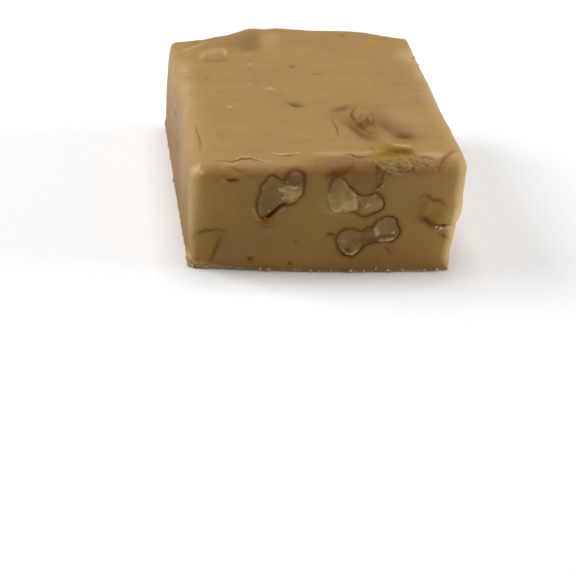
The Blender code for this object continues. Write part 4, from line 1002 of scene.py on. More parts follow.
def hand_cut(points, sizes):
    """The rounded box's points moved to where the real block's corners and bowed walls are."""
    u, v = points[:, 0] / (sizes.width / 2), points[:, 1] / (sizes.depth / 2)
    w = points[:, 2] / sizes.height
    moved = points.copy()
    for (sx, sy, top), shift in CORNER_SHIFTS.items():
        part = (1 + sx * u) / 2 * (1 + sy * v) / 2 * (w if top else 1 - w)
        moved += part[:, None] * row(shift) * MM
    lean = np.clip((w - 1 + LEAN_SHARE) / LEAN_SHARE, 0, 1) ** 2
    moved[:, 1] += LEAN * lean * (1 - v) / 2
    bow = 1 - u**2
    moved[:, 1] += bow * (BACK_BULGE * (1 + v) / 2 - FRONT_BULGE * (1 - v) / 2)
    moved[:, 0] += (RIGHT_BULGE * (1 + u) / 2 - LEFT_BULGE * (1 - u) / 2) * 4 * w * (1 - w)
    return moved


def on_wall(points, ways, wall):
    """Each point's place on a wall in millimetres, and how much it belongs to that wall."""
    across, up, out = (row(v) for v in WALLS[wall])
    facing = np.clip((ways @ out - WALL_EDGE) / (1 - WALL_EDGE), 0, 1)
    return points @ across / MM, points @ up / MM, facing**0.5


def swell(x, y, at_x, at_y, half_length, half_width, height, turn=0, steepness=1):
    """Height of one swelling or hollow at each point of a wall."""
    c, s = math.cos(math.radians(turn)), math.sin(math.radians(turn))
    dx, dy = x - at_x, y - at_y
    away = ((dx * c + dy * s) / half_length) ** 2 + ((dy * c - dx * s) / half_width) ** 2
    return height * np.exp(-(away**steepness))


def near(x, y, path, reach):
    """Whether each point of a wall is within reach of the box round a path."""
    low, high = row(path).min(axis=0) - reach, row(path).max(axis=0) + reach
    return (x > low[0]) & (x < high[0]) & (y > low[1]) & (y < high[1])


def line(x, y, path, half_width, strength):
    """Strength of one soft line at each point of a wall."""
    total = np.zeros(len(x))
    here = near(x, y, path, LINE_REACH * half_width)
    if here.any():
        gap, _, opening = along_crack(x[here], y[here], path)
        total[here] = strength * opening**0.5 * np.exp(-((gap / half_width) ** 2))
    return total


def mark(x, y, spec):
    """Strength of one spot or line at each point of a wall."""
    return line(x, y, *spec) if len(spec) == 3 else swell(x, y, *spec)


def swells_at(points, ways, table):
    """Sum of a table's swellings, spots and lines at each point."""
    total = np.zeros(len(points))
    for wall, specs in table.items():
        x, y, part = on_wall(points, ways, wall)
        here = part > 0
        for spec in specs:
            total[here] += part[here] * mark(x[here], y[here], spec)
    return total


def nearest_on(here, a, b):
    """The share of the way from a to b where each point is nearest, and its way off from there."""
    t = np.clip((here - a) @ (b - a) / ((b - a) @ (b - a)), 0, 1)
    return t, here - a - t[:, None] * (b - a)


def along_crack(x, y, path):
    """How far each point is from a crack, on which side, and how open the crack is there."""
    size, reach = CRACK_WANDER
    spots = np.stack([x, y, np.zeros(len(x))], axis=1) * MM
    x = x + reach * noise_at(spots, size)
    y = y + reach * noise_at(spots + WANDER_SHIFT, size)
    here = np.stack([x, y], axis=1)
    nearest = np.full(len(here), FAR)
    side, opening = np.zeros(len(here)), np.zeros(len(here))
    runs = len(path) - 1
    for i in range(runs):
        a, b = row(path[i]), row(path[i + 1])
        t, off = nearest_on(here, a, b)
        gap = np.linalg.norm(off, axis=1)
        closer = gap < nearest
        nearest[closer] = gap[closer]
        side[closer] = np.sign((b - a)[0] * off[closer, 1] - (b - a)[1] * off[closer, 0])
        share_along = CRACK_END + (1 - 2 * CRACK_END) * (i + t[closer]) / runs
        opening[closer] = np.sin(math.pi * share_along)
    return nearest, side, opening


def cracks_at(points, ways):
    """The height that the cracks give each point, and how dark their painted shade is there."""
    height, dark = np.zeros(len(points)), np.zeros(len(points))
    for wall, specs in CRACKS.items():
        x, y, part = on_wall(points, ways, wall)
        for path, half_width, depth, flake, darkness in specs:
            here = (part > 0) & near(x, y, path, CRACK_REACH)
            if not here.any():
                continue
            gap, side, opening = along_crack(x[here], y[here], path)
            opening *= np.clip(part[here] ** 2 * CRACK_HOLD, 0, 1)
            cut = np.exp(-((gap / half_width) ** 2))
            lift = flake * np.exp(-(((gap - FLAKE_OFFSET) / FLAKE_WIDTH) ** 2))
            lift *= np.where(side > 0, 1, FAR_SIDE_LIFT)
            height[here] += opening * (lift - depth * cut)
            dark[here] = np.maximum(dark[here], darkness * opening * cut)
    return height, dark


def crumbs_at(points, chunks):
    """Rough, crumbly noise, mostly outwards."""
    total = np.zeros(len(points))
    for size, height in chunks:
        total += height * (np.abs(noise_at(points, size)) * CRUMBLE_RISE - CRUMBLE_DROP)
    return total


def relief(points, ways):
    """How far each point of the block's surface stands out of the smooth form, in metres."""
    top = on_wall(points, ways, "top")[2]
    standing = swells_at(points, ways, SWELLS) + cracks_at(points, ways)[0]
    for size, height in WAVES:
        standing += height * noise_at(points, size)
    for (size, stretch, height), part in ((SMEAR, top), (FINE_SMEAR, top), (SAW_MARKS, 1 - top)):
        standing += height * part * noise_at(points, size, stretch)
    rough = swells_at(points, ways, CRUMBLY)
    here = rough > CRUMBLY_FROM
    standing[here] += rough[here] * crumbs_at(points[here], CRUMB_CHUNKS)
    return standing * MM * np.clip(points[:, 2] / FOOT_FADE, 0, 1)


# Modelling with Blender's own operators and modifiers


def deselect():
    bpy.ops.object.select_all(action="DESELECT")


def select(*objects):
    """Selects these objects and no others, and makes the first one active."""
    deselect()
    for obj in objects:
        obj.select_set(True)
    bpy.context.view_layer.objects.active = objects[0]


def join(objects):
    """Makes one object of several."""
    select(*objects)
    bpy.ops.object.join()
    return bpy.context.object


def new_object(name):
    """Names the object that an operator has just made, and returns it."""
    obj = bpy.context.object
    obj.name = name
    return obj


def edit(obj, kind, chosen):
    """Enters edit mode with these elements of the mesh selected and no others."""
    mesh = obj.data
    for items, name in ((mesh.vertices, "VERT"), (mesh.edges, "EDGE"), (mesh.polygons, "FACE")):
        items.foreach_set("select", chosen if name == kind else np.zeros(len(items), bool))
    select(obj)
    bpy.context.tool_settings.mesh_select_mode = [name == kind for name in ("VERT", "EDGE", "FACE")]
    bpy.ops.object.mode_set(mode="EDIT")


def leave_edit():
    bpy.ops.object.mode_set(mode="OBJECT")


def apply(obj, kind, **values):
    """Adds one modifier with these values and applies it."""
    select(obj)
    made = obj.modifiers.new(kind.lower(), kind)
    for name, value in values.items():
        setattr(made, name, value)
    bpy.ops.object.modifier_apply(modifier=made.name)


def triangles_of(mesh):
    return sum(len(face.vertices) - 2 for face in mesh.polygons)


def thin(obj, triangles):
    """Leaves the object with that many triangles, fewest where it is plain."""
    count = triangles_of(obj.data)
    if count > triangles:
        apply(obj, "DECIMATE", ratio=triangles / count)


def duplicate(obj):
    copy = obj.copy()
    copy.data = obj.data.copy()
    bpy.context.collection.objects.link(copy)
    return copy


def remove(obj):
    mesh = obj.data
    bpy.data.objects.remove(obj)
    bpy.data.meshes.remove(mesh)


def subdivided_box(name, sizes):
    """A box on the floor whose walls are cut into even cells."""
    deselect()
    bpy.ops.mesh.primitive_cube_add(
        size=1, location=(0, 0, sizes.height / 2), scale=(sizes.width, sizes.depth, sizes.height))
    obj = new_object(name)
    bpy.ops.object.transform_apply(location=True, scale=True)
    for axis, side in enumerate((sizes.width, sizes.depth, sizes.height)):
        ends = points_of(obj.data)[read(obj.data.edges, "vertices", 2, int)]
        along = np.abs(ends[:, 0, axis] - ends[:, 1, axis]) > side / 2
        edit(obj, "EDGE", along)
        bpy.ops.mesh.subdivide(number_cuts=round(side / sizes.cell / 2) - 1)
        leave_edit()
    edit(obj, "FACE", np.ones(len(obj.data.polygons), bool))
    bpy.ops.mesh.subdivide(number_cuts=1)
    leave_edit()
    return obj


def refine_details(obj):
    """Cuts the cells finer along cracks, in pits and in crumbly patches."""
    places = read(obj.data.polygons, "center", 3)
    normals = read(obj.data.polygons, "normal", 3, np.float32).astype(np.float64)
    chosen = np.zeros(len(places), bool)
    for wall, specs in CRACKS.items():
        x, y, part = on_wall(places, normals, wall)
        for path, *_ in specs:
            here = (part > FINE_PART) & near(x, y, path, FINE_REACH)
            chosen[here] |= along_crack(x[here], y[here], path)[0] < FINE_NEAR_CRACK
    chosen |= swells_at(places, normals, CRUMBLY) > FINE_CRUMBLY
    edit(obj, "FACE", chosen)
    bpy.ops.mesh.subdivide(number_cuts=FINE_CUTS)
    leave_edit()


def smooth_form():
    """The whole block before its relief. It says which way the surface faces."""
    form = bpy.data.objects.get(SMOOTH_FORM)
    if form is None:
        sizes = bpy.context.scene.fudge_block_sizes
        form = subdivided_box(SMOOTH_FORM, sizes)
        set_points(form.data, hand_cut(rounded(points_of(form.data), sizes), sizes))
    return form


def plain_form():
    """The whole block with its relief and with no pockets."""
    form = bpy.data.objects.get(PLAIN_FORM)
    if form is None:
        form = duplicate(smooth_form())
        form.name = PLAIN_FORM
        refine_details(form)
        points, ways = points_of(form.data), normals_of(form.data)
        points += ways * relief(points, ways)[:, None]
        points[:, 2] = np.maximum(points[:, 2], 0)
        set_points(form.data, points)
        thin(form, bpy.context.scene.fudge_block_sizes.triangles)
    return form


def tree_of(obj):
    return BVHTree.FromObject(obj, bpy.context.evaluated_depsgraph_get())


def smooth_outline(corners, count):
    """Points evenly spread along a smooth closed curve through the corners."""
    corners = row(corners)
    before, after = np.roll(corners, 1, axis=0), np.roll(corners, -1, axis=0)
    beyond = np.roll(corners, -2, axis=0)
    fine = []
    for t in np.linspace(0, 1, CURVE_STEPS, endpoint=False):
        fine.append(
            corners
            + 0.5 * t * (after - before)
            + t**2 * (before - 2.5 * corners + 2 * after - 0.5 * beyond)
            + 0.5 * t**3 * (3 * corners - 3 * after + beyond - before)
        )
    curve = np.stack(fine, axis=1).reshape(-1, 2)
    steps = np.linalg.norm(np.roll(curve, -1, axis=0) - curve, axis=1)
    reach = np.concatenate([[0], np.cumsum(steps)])
    closed = np.vstack([curve, curve[:1]])
    at = np.linspace(0, reach[-1], count, endpoint=False)
    return np.stack([np.interp(at, reach, closed[:, k]) for k in (0, 1)], axis=1)


def cut_outline(name):
    """The outline of a cut walnut, as uneven as the walnut's own edge."""
    corners = CUT_WALNUTS[name][2]
    outline = smooth_outline(corners, bpy.context.scene.fudge_walnut_sizes.outline_points)
    spots = np.column_stack([outline, np.zeros(len(outline))]) * MM
    return grown(outline, waves_at(spots, OUTLINE_WANDER))


def grown(outline, by):
    """The outline moved outwards by a distance at each of its points."""
    ahead, behind = np.roll(outline, -1, axis=0), np.roll(outline, 1, axis=0)
    along = ahead - behind
    sideways = np.stack([along[:, 1], -along[:, 0]], axis=1)
    area = np.sum(outline[:, 0] * ahead[:, 1] - ahead[:, 0] * outline[:, 1])
    sideways *= math.copysign(1, area) / np.linalg.norm(sideways, axis=1)[:, None]
    return outline + sideways * np.reshape(by, (-1, 1))


def faint_at(wall, x, y):
    """How far the rims of a wall's walnuts fade at each point, from 0 to 1."""
    return np.clip(sum(swell(x, y, *spec) for spec in FAINT_RIMS.get(wall, ())), 0, 1)


def edge_distance(x, y, outline):
    """How far inside the outline each point is in millimetres, less than 0 outside."""
    here = np.stack([x, y], axis=1)
    nearest = np.full(len(here), FAR)
    inside = np.zeros(len(here), bool)
    for a, b in zip(outline, np.roll(outline, -1, axis=0)):
        nearest = np.minimum(nearest, np.linalg.norm(nearest_on(here, a, b)[1], axis=1))
        crosses = (a[1] > y) != (b[1] > y)
        if a[1] != b[1]:
            inside ^= crosses & (x < a[0] + (y - a[1]) * (b[0] - a[0]) / (b[1] - a[1]))
    return np.where(inside, nearest, -nearest)


def halos_at(points, ways):
    """How strongly the walnuts' skins stain the fudge at each point."""
    total = np.zeros(len(points))
    for name, (wall, _, corners) in CUT_WALNUTS.items():
        if name in FILMED_WALNUTS:
            continue
        x, y, part = on_wall(points, ways, wall)
        here = (part > HALO_PART) & near(x, y, corners, HALO_REACH)
        away = np.maximum(-edge_distance(x[here], y[here], cut_outline(name)), 0)
        strength = 1 - faint_at(wall, x[here], y[here])
        total[here] = np.maximum(total[here], strength * np.exp(-((away / HALO_WIDTH) ** 2)))
    return total


def gap_round(wall, outline):
    """How wide the gap round a walnut is at each point of its outline, in millimetres."""
    x, y = outline[:, 0], outline[:, 1]
    gap = GAP * (1 - faint_at(wall, x, y))
    for spec in GAP_CHANGES.get(wall, ()):
        gap += swell(x, y, *spec)
    return gap


def plug(name, wall, depth, outline):
    """A blunt dome through a wall: an outline outside, drawn in to a tip inside the block."""
    across, up, out = (Vector(v) for v in WALLS[wall])
    sizes = bpy.context.scene.fudge_block_sizes
    face = (sizes.width if wall in ("left", "right") else sizes.depth) / 2
    middle = outline.mean(axis=0) * MM
    start = out * (face + PLUG_OUTSIDE)
    deselect()
    bpy.ops.mesh.primitive_circle_add(vertices=len(outline), fill_type="NGON")
    obj = new_object(name)
    set_points(obj.data, row([start + across * x + up * y for x, y in (outline * MM).tolist()]))
    centre = start + across * middle[0] + up * middle[1]
    edit(obj, "FACE", np.ones(1, bool))
    at, size = -PLUG_OUTSIDE, 1.0
    for inwards, wide in PLUG_RINGS:
        step = inwards * depth * MM - at
        bpy.ops.mesh.extrude_region_move(TRANSFORM_OT_translate={"value": -out * step})
        centre = centre - out * step
        bpy.ops.transform.resize(value=(wide / size,) * 3, center_override=centre)
        at, size = at + step, wide
    bpy.ops.mesh.select_all(action="SELECT")
    bpy.ops.mesh.normals_make_consistent(inside=False)
    leave_edit()
    return obj


def way_out(start, towards, egg, gap):
    """How far it is from the start to the outside of an egg."""
    centre_at, sizes, turn = egg
    back = Matrix.Rotation(math.radians(-turn), 3, "Z")
    from_middle = back @ (start - Vector(centre_at) * MM)
    heading = back @ towards
    p = Vector([a / (b * MM + gap) for a, b in zip(from_middle, sizes)])
    d = Vector([a / (b * MM + gap) for a, b in zip(heading, sizes)])
    inside = p.dot(d) ** 2 - d.dot(d) * (p.dot(p) - 1)
    return (math.sqrt(max(inside, 0)) - p.dot(d)) / d.dot(d)


def ball(name, subdivisions):
    deselect()
    bpy.ops.mesh.primitive_ico_sphere_add(subdivisions=subdivisions, radius=1)
    return new_object(name)


def ground_height():
    """Height of the plain block's top under the kernel that stands out of it."""
    above = Vector((*TOP_INSIDE[:2], ABOVE_ALL)) * MM
    return tree_of(plain_form()).ray_cast(above, Vector((0, 0, -1)))[0].z


def headed(name, subdivisions, gap):
    """The top's kernel: its head and its tail as one body."""
    obj = ball(name, subdivisions)
    start, ground = Vector(TOP_INSIDE) * MM, ground_height()
    for vert in obj.data.vertices:
        towards = vert.co.normalized()
        ways = [max(way_out(start, towards, egg, gap), 0) / MM for egg in (TOP_HEAD, TOP_TAIL)]
        reach = sum(way**HEAD_TAIL_BLEND for way in ways) ** (1 / HEAD_TAIL_BLEND) * MM
        vert.co = start + towards * reach
        vert.co.z += ground
    obj.data.update()
    return obj


def ragged(name, subdivisions, gap):
    """The broken kernel's egg with an uneven outline."""
    obj = ball(name, subdivisions)
    for vert in obj.data.vertices:
        towards = vert.co.normalized()
        uneven = 1 + RAGGED_SHARE * noise.noise(towards * RIM_KERNEL_SIZE[0] / RAGGED_SIZE)
        sides = [a * b * uneven + a * gap for a, b in zip(towards, RIM_KERNEL_SIZE)]
        vert.co = RIM_KERNEL + Vector(sides)
    obj.data.update()
    return obj


def set_attributes(obj, marks):
    """Keeps a number for each point of an object's mesh under each mark's name."""
    for name, values in marks.items():
        attribute = obj.data.attributes.new(name, "FLOAT", "POINT")
        attribute.data.foreach_set("value", np.asarray(values, np.float32))


def depth_in(tree, points):
    """How far under the plain block's surface each point is."""
    depths = np.empty(len(points))
    for i, point in enumerate(points.tolist()):
        surface, out, _, _ = tree.find_nearest(point)
        depths[i] = (surface - Vector(point)).dot(out)
    return depths


def ways_at(points):
    """The direction out of the smooth block at each point."""
    tree = tree_of(smooth_form())
    return row([tree.find_nearest(point)[1] for point in points.tolist()])


def fudge_marks(points, ways, normals, depths):
    """What the fudge's material reads at each point, by name."""
    marks = {name: swells_at(points, ways, table) for name, table in FUDGE_MARKS.items()}
    # Painted shade in the cracks
    marks["dark"] = np.maximum(marks["dark"], cracks_at(points, ways)[1])
    frost = FROST_HEIGHT + FROST_AT_CORNER * at_worn_corner(points)
    frosted = FROST_STRENGTH * np.clip(FROST_FADE - points[:, 2] / frost, 0, 1)
    marks["pale"] = np.maximum(marks["pale"], frosted * (ways[:, 2] > UNDERSIDE))
    # The left cut: dry film with painted sheen high up, painted shade low down
    left = on_wall(points, ways, "left")[2] ** 2
    high = np.clip((points[:, 2] - FILM_GONE) / (FILM_FULL - FILM_GONE), 0, 1)
    # Painted shade: the front cut, and the left cut below its film, take the darker cut colour
    marks["deep"] = np.maximum(on_wall(points, ways, "front")[2] ** 2, left * (1 - high))
    marks["film"] = left * high
    buried = np.clip((depths / MM - SEAM_START) / SEAM_RANGE, 0, 1) * (points[:, 2] > SEAM_LOWEST)
    facing_out = np.clip(np.sum(normals * ways, axis=1), 0, 1)
    marks["inside"] = buried * (1 - facing_out**2)
    for wall in FAINT_RIMS:
        x, y, part = on_wall(points, ways, wall)
        marks["inside"] *= 1 - SEAM_FADE * part * faint_at(wall, x, y)
    times_off = np.linalg.norm((points - row(RIM_KERNEL)) / row(RIM_KERNEL_SIZE), axis=1)
    marks["inside"][times_off < NEAR_RIM_KERNEL] *= 1 - SEAM_FADE
    marks["halo"] = halos_at(points, ways)
    return marks


def surface_marks(obj):
    """The same marks for a piece that lies in the block's surface and not under it."""
    points = points_of(obj.data)
    return fudge_marks(points, ways_at(points), normals_of(obj.data), np.zeros(len(points)))


def settle(obj, name, finish, slot, *nodes):
    """Finishes a piece: its name, its place, its material and what it stands for."""
    obj.name = obj.data.name = name
    obj.data.transform(Matrix.Translation(CENTRE_SHIFT))
    obj.data.materials.clear()
    obj.data.materials.append(finish)
    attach(obj, "root")
    if nodes:
        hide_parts(*nodes)


def smooth(obj, degrees):
    select(obj)
    bpy.ops.object.shade_smooth_by_angle(angle=math.radians(degrees))


# Finishes


class Number:
    """A socket that carries a number. Arithmetic on it adds the Math nodes."""

    def __init__(self, finish, socket):
        self.finish, self.socket = finish, socket

    def __add__(self, other):
        return self.finish.maths("ADD", self, other)

    def __sub__(self, other):
        return self.finish.maths("SUBTRACT", self, other)

    def __rsub__(self, other):
        return self.finish.maths("SUBTRACT", other, self)

    def __mul__(self, other):
        return self.finish.maths("MULTIPLY", self, other)

    def clipped(self):
        """The number kept between 0 and 1."""
        return self.finish.maths("MINIMUM", self.finish.maths("MAXIMUM", self, 0.0), 1.0)

    def step(self, start, end):
        """0 at the start, 1 at the end and smooth between them. The end may be the lower one."""
        node = self.finish.node(
            "ShaderNodeMapRange", {"interpolation_type": "SMOOTHSTEP"},
            {"Value": self, "From Min": start, "From Max": end})
        return Number(self.finish, node.outputs["Result"])

    __radd__, __rmul__ = __add__, __mul__


class Finish:
    """One material that is being made."""

    def __init__(self, name):
        self.material = bpy.data.materials.new(name)
        self.material.use_nodes = True
        self.tree = self.material.node_tree
        self.shader = self.tree.nodes["Principled BSDF"]
        self.place = self.node("ShaderNodeTexCoord").outputs["Object"]

    def node(self, kind, settings=None, inputs=None):
        """A node with its settings, and values or links for its sockets."""
        made = self.tree.nodes.new(kind)
        for name, value in (settings or {}).items():
            setattr(made, name, value)
        for name, value in (inputs or {}).items():
            self.feed(made.inputs[name], value)
        return made

    def feed(self, socket, value):
        if isinstance(value, Number):
            value = value.socket
        if isinstance(value, bpy.types.NodeSocket):
            self.tree.links.new(value, socket)
        elif socket.type == "RGBA":
            socket.default_value = (*value[:3], 1)
        else:
            socket.default_value = value

    def maths(self, operation, first, second):
        made = self.node("ShaderNodeMath", {"operation": operation}, {0: first, 1: second})
        return Number(self, made.outputs[0])

    def attribute(self, name):
        made = self.node("ShaderNodeAttribute", {"attribute_name": name})
        return Number(self, made.outputs["Fac"])

    def broken(self, mark, noise, least, rise):
        """A mark that a noise breaks up: its least share, and how it rises with the noise."""
        return (mark * (least + noise * rise)).clipped()

    def noise(self, size, detail, stretch=(1, 1, 1)):
        """Noise with waves of this size in millimetres, longer where it is stretched."""
        scale = [1 / s for s in stretch]
        scaled = self.node("ShaderNodeMapping", None, {"Vector": self.place, "Scale": scale})
        made = self.node("ShaderNodeTexNoise", None, {
            "Vector": scaled.outputs[0], "Scale": 1 / (size * MM), "Detail": detail})
        return Number(self, made.outputs["Fac"])

    def mix(self, factor, first, second):
        """A colour between two colours."""
        made = self.node("ShaderNodeMix", {"data_type": "RGBA"}, {0: factor, 6: first, 7: second})
        return made.outputs[2]

    def tinted(self, colour_in, factor, tint):
        """A colour multiplied by a tint, as far as the factor says."""
        made = self.node(
            "ShaderNodeMix", {"data_type": "RGBA", "blend_type": "MULTIPLY"},
            {0: factor, 6: colour_in, 7: tint})
        return made.outputs[2]

    def finished(self, base, roughness, height, bump, settings):
        """Links what varies to the shader, sets what is constant, and returns the material."""
        self.feed(self.shader.inputs["Base Color"], base)
        self.feed(self.shader.inputs["Roughness"], roughness)
        normal = self.node(
            "ShaderNodeBump", None, {"Strength": 1, "Distance": bump * MM, "Height": height})
        self.feed(self.shader.inputs["Normal"], normal.outputs[0])
        for name, value in settings.items():
            self.shader.inputs[name].default_value = value
        return self.material


# The faint glow and low gloss that the fudge and the walnuts share
SOFT_GLOW = {
    "Subsurface Weight": 0.12,
    "Subsurface Radius": (1.0, 0.45, 0.2),
    "Subsurface Scale": 0.9 * MM,
    "Specular IOR Level": 0.14,
}

# Noises of the fudge and of the walnuts: size in millimetres, detail and stretch
FUDGE_NOISES = {
    "broad": (11, 2), "cloud": (2.4, 3), "smear": (1.6, 3, (7, 1, 1)), "band": (3.4, 2, (6, 1, 1)),
    "streak": (1.4, 3, (1, 1, 9)), "fine": (0.55, 3), "grain": (0.16, 2),
}
WALNUT_NOISES = {"broad": (4, 2), "cloud": (1.5, 2), "fine": (0.45, 3), "grain": (0.16, 2)}

# Tints that the fudge's noises lay over it: the noise, where its tint starts and where it is full,
# the tint's share and the tint
FUDGE_TINTS = [
    ("broad", 0.40, 0.68, 0.60, (0.90, 0.88, 0.84)),
    ("broad", 0.54, 0.38, 0.50, (1.00, 0.94, 0.88)),
    ("band", 0.45, 0.66, 0.55, (0.95, 0.90, 0.96)),
    ("cloud", 0.46, 0.70, 0.35, (0.93, 0.86, 0.79)),
    ("smear", 0.45, 0.72, 0.28, (0.91, 0.89, 0.85)),
]
FILM_TINT = (0.88, 0.82, 0.84)
GREEN_TINT = (0.88, 0.98, 0.92)
# Darkens the mauve marks, in places painted shade
MAUVE_SHADE_TINT = (0.78, 0.69, 0.74)
FLESH_TINT = (0.84, 0.80, 0.76)
GRAIN_TINT = (0.78, 0.72, 0.62)
FIBRE_TINT = (0.985, 0.985, 0.985)

# How wide the skin shows round a cut walnut in millimetres, how ragged it is, how much lighter it is
# in places, and how much darker the painted shade in the hollows of broken flesh is
SKIN_WIDTH = 0.42
SKIN_RAGGED = 0.22
SKIN_LIGHTER = 1.5
CREAM_SHADE = 0.74


def fudge_finish():
    """Cooked sugar fudge: even and waxy, mottled, with specks, stains and dry edges, painted shade
    in its cuts, pits, cracks and hollows, and painted highlights on its edges and lumps.
    """
    if FUDGE_FINISH in bpy.data.materials:
        return bpy.data.materials[FUDGE_FINISH]
    colours = bpy.context.scene.fudge_colours
    made = Finish(FUDGE_FINISH)
    deep, film, inside = made.attribute("deep"), made.attribute("film"), made.attribute("inside")
    dark, pale, halo = made.attribute("dark"), made.attribute("pale"), made.attribute("halo")
    noises = {name: made.noise(*values) for name, values in FUDGE_NOISES.items()}
    cloud, streak, fine = noises["cloud"], noises["streak"], noises["fine"]
    # Painted shade: the cut walls take the darker cut colour
    base = made.mix(deep, colours.fudge, colours.fudge_shaded_cut)
    # The left cut's dry film with its painted sheen, streaked
    base = made.mix(made.broken(film, streak, 0.1, 1.7), base, colours.fudge_film_and_sheen)
    base = made.tinted(base, (film * streak.step(0.64, 0.46) * 0.5).clipped(), FILM_TINT)
    # warm is painted light; olive, moss and rust are partly painted shade, and pink is partly
    # painted highlight, as said at their marks
    for name in ("warm", "olive", "moss", "pink", "rust"):
        part = made.broken(made.attribute(name), cloud, 0.55, 0.9)
        base = made.mix(part, base, getattr(colours, "fudge_" + name))
    base = made.tinted(base, made.attribute("green").clipped(), GREEN_TINT)
    for name, start, end, most, tint in FUDGE_TINTS:
        base = made.tinted(base, noises[name].step(start, end) * most, tint)
    # The mauve tint, in places painted shade
    base = made.tinted(base, made.broken(made.attribute("mauve"), cloud, 0.6, 0.8), MAUVE_SHADE_TINT)
    base = made.mix(fine.step(0.64, 0.76) * 0.16, base, colours.fudge_dry_and_highlight)
    base = made.mix(fine.step(0.38, 0.30) * 0.17, base, colours.fudge_stain_and_shade)
    # Dry patches, and painted highlights on rolled edges, crack lips and lumps
    base = made.mix(made.broken(pale, fine, 0.5, 1), base, colours.fudge_dry_and_highlight)
    # Brown stains, and painted shade in pits, cracks and hollows
    base = made.mix(made.broken(dark, fine, 0.65, 0.7), base, colours.fudge_stain_and_shade)
    base = made.mix(made.broken(halo, cloud, 0.45, 0.9) * 0.85, base, colours.halo)
    base = made.mix(inside, base, colours.pocket)
    roughness = 0.46 + cloud * 0.12 + pale * 0.2 + dark * 0.1
    height = fine * 0.5 + noises["grain"] * 0.3 + noises["smear"] * 0.2
    return made.finished(base, roughness, height, 0.06, SOFT_GLOW)


def walnut_finish():
    """Walnut: cut flesh with a papery skin round it, and paler where it is broken, with painted
    shade in its slits, grooves, pits and hollows.
    """
    colours = bpy.context.scene.fudge_colours
    made = Finish("walnut")
    edge, pale, rim = made.attribute("edge"), made.attribute("pale"), made.attribute("rim")
    broad, cloud, fine, grain = (made.noise(*values) for values in WALNUT_NOISES.values())
    base = made.tinted(colours.flesh, broad.step(0.35, 0.65) * 0.7, FLESH_TINT)
    base = made.mix(cloud.step(0.52, 0.74) * 0.25, base, colours.cream)
    # rust is partly painted shade in the hollows of the cut faces
    for name, mixed in (("green", "green"), ("haze", "cream"), ("rust", "rust")):
        part = made.broken(made.attribute(name), cloud, 0.5, 1)
        base = made.mix(part, base, getattr(colours, mixed))
    jagged = (pale + (fine - 0.5) * 0.8 + (cloud - 0.5) * 0.5).step(0.32, 0.64)
    # Broken flesh, with painted shade in its hollows
    shaded_cream = [c * CREAM_SHADE for c in colours.cream]
    base = made.mix(jagged, base, made.mix(fine.step(0.30, 0.62), shaded_cream, colours.cream))
    base = made.tinted(base, grain.step(0.5, 0.75) * 0.2, GRAIN_TINT)
    # Painted shade in slits, grooves and pits, and lines of skin
    base = made.mix(made.broken(made.attribute("dark"), fine, 0.6, 0.8), base, colours.skin)
    skin = (SKIN_WIDTH - edge + (fine - 0.5) * SKIN_RAGGED).step(-0.14, 0.26)
    skin = skin * rim * (0.6 + broad.step(0.35, 0.6) * 0.4)
    light_skin = [c * SKIN_LIGHTER for c in colours.skin]
    base = made.mix(skin, base, made.mix(cloud.step(0.4, 0.65), colours.skin, light_skin))
    roughness = 0.54 + fine * 0.16 - skin * 0.12
    height = fine * 0.6 + grain * 0.4
    return made.finished(base, roughness, height, 0.08, SOFT_GLOW)


def crumb_finish(name, light, shade):
    """Dry crumbs, each a little different."""
    made = Finish(name)
    kind, fine = made.attribute("kind"), made.noise(0.25, 3)
    base = made.mix((kind * 0.7 + fine * 0.3).clipped(), light, shade)
    return made.finished(base, 0.6 + fine * 0.2, fine, 0.04, SOFT_GLOW)


def floor_finish(tone):
    """A plain pale matt sheet with the faintest grain."""
    made = Finish("floor")
    fibres = made.noise(2, 3)
    base = made.tinted(tone, fibres.step(0.3, 0.7), FIBRE_TINT)
    return made.finished(base, 0.8 + fibres * 0.1, fibres, 0.01, {"Specular IOR Level": 0.2})


# One operator for each piece or group of pieces, and one for the stage


class FUDGE_OT_block(bpy.types.Operator):
    """Cuts the block of fudge, with a pocket for each walnut"""

    bl_idname = "fudge.block"
    bl_label = "Fudge block"

    def execute(self, context):
        cutters = []
        for name, (wall, depth, _) in CUT_WALNUTS.items():
            outline = cut_outline(name)
            gap = FILMED_GAP if name in FILMED_WALNUTS else gap_round(wall, outline)
            cutters.append(plug("pocket_" + name, wall, depth + GAP, grown(outline, gap)))
        cutters.append(headed("pocket_top", POCKET_SUBDIVISIONS, 0))
        cutters.append(ragged("pocket_rim", POCKET_SUBDIVISIONS, 0))
        cutter = join(cutters)
        block = duplicate(plain_form())
        apply(block, "BOOLEAN", operation="DIFFERENCE", solver="MANIFOLD", object=cutter)
        remove(cutter)
        points, normals = points_of(block.data), normals_of(block.data)
        depths = depth_in(tree_of(plain_form()), points)
        set_attributes(block, fudge_marks(points, ways_at(points), normals, depths))
        smooth(block, BLOCK_SMOOTH)
        settle(block, "fudge", fudge_finish(), "fudge", "fudge_block")
        return {"FINISHED"}


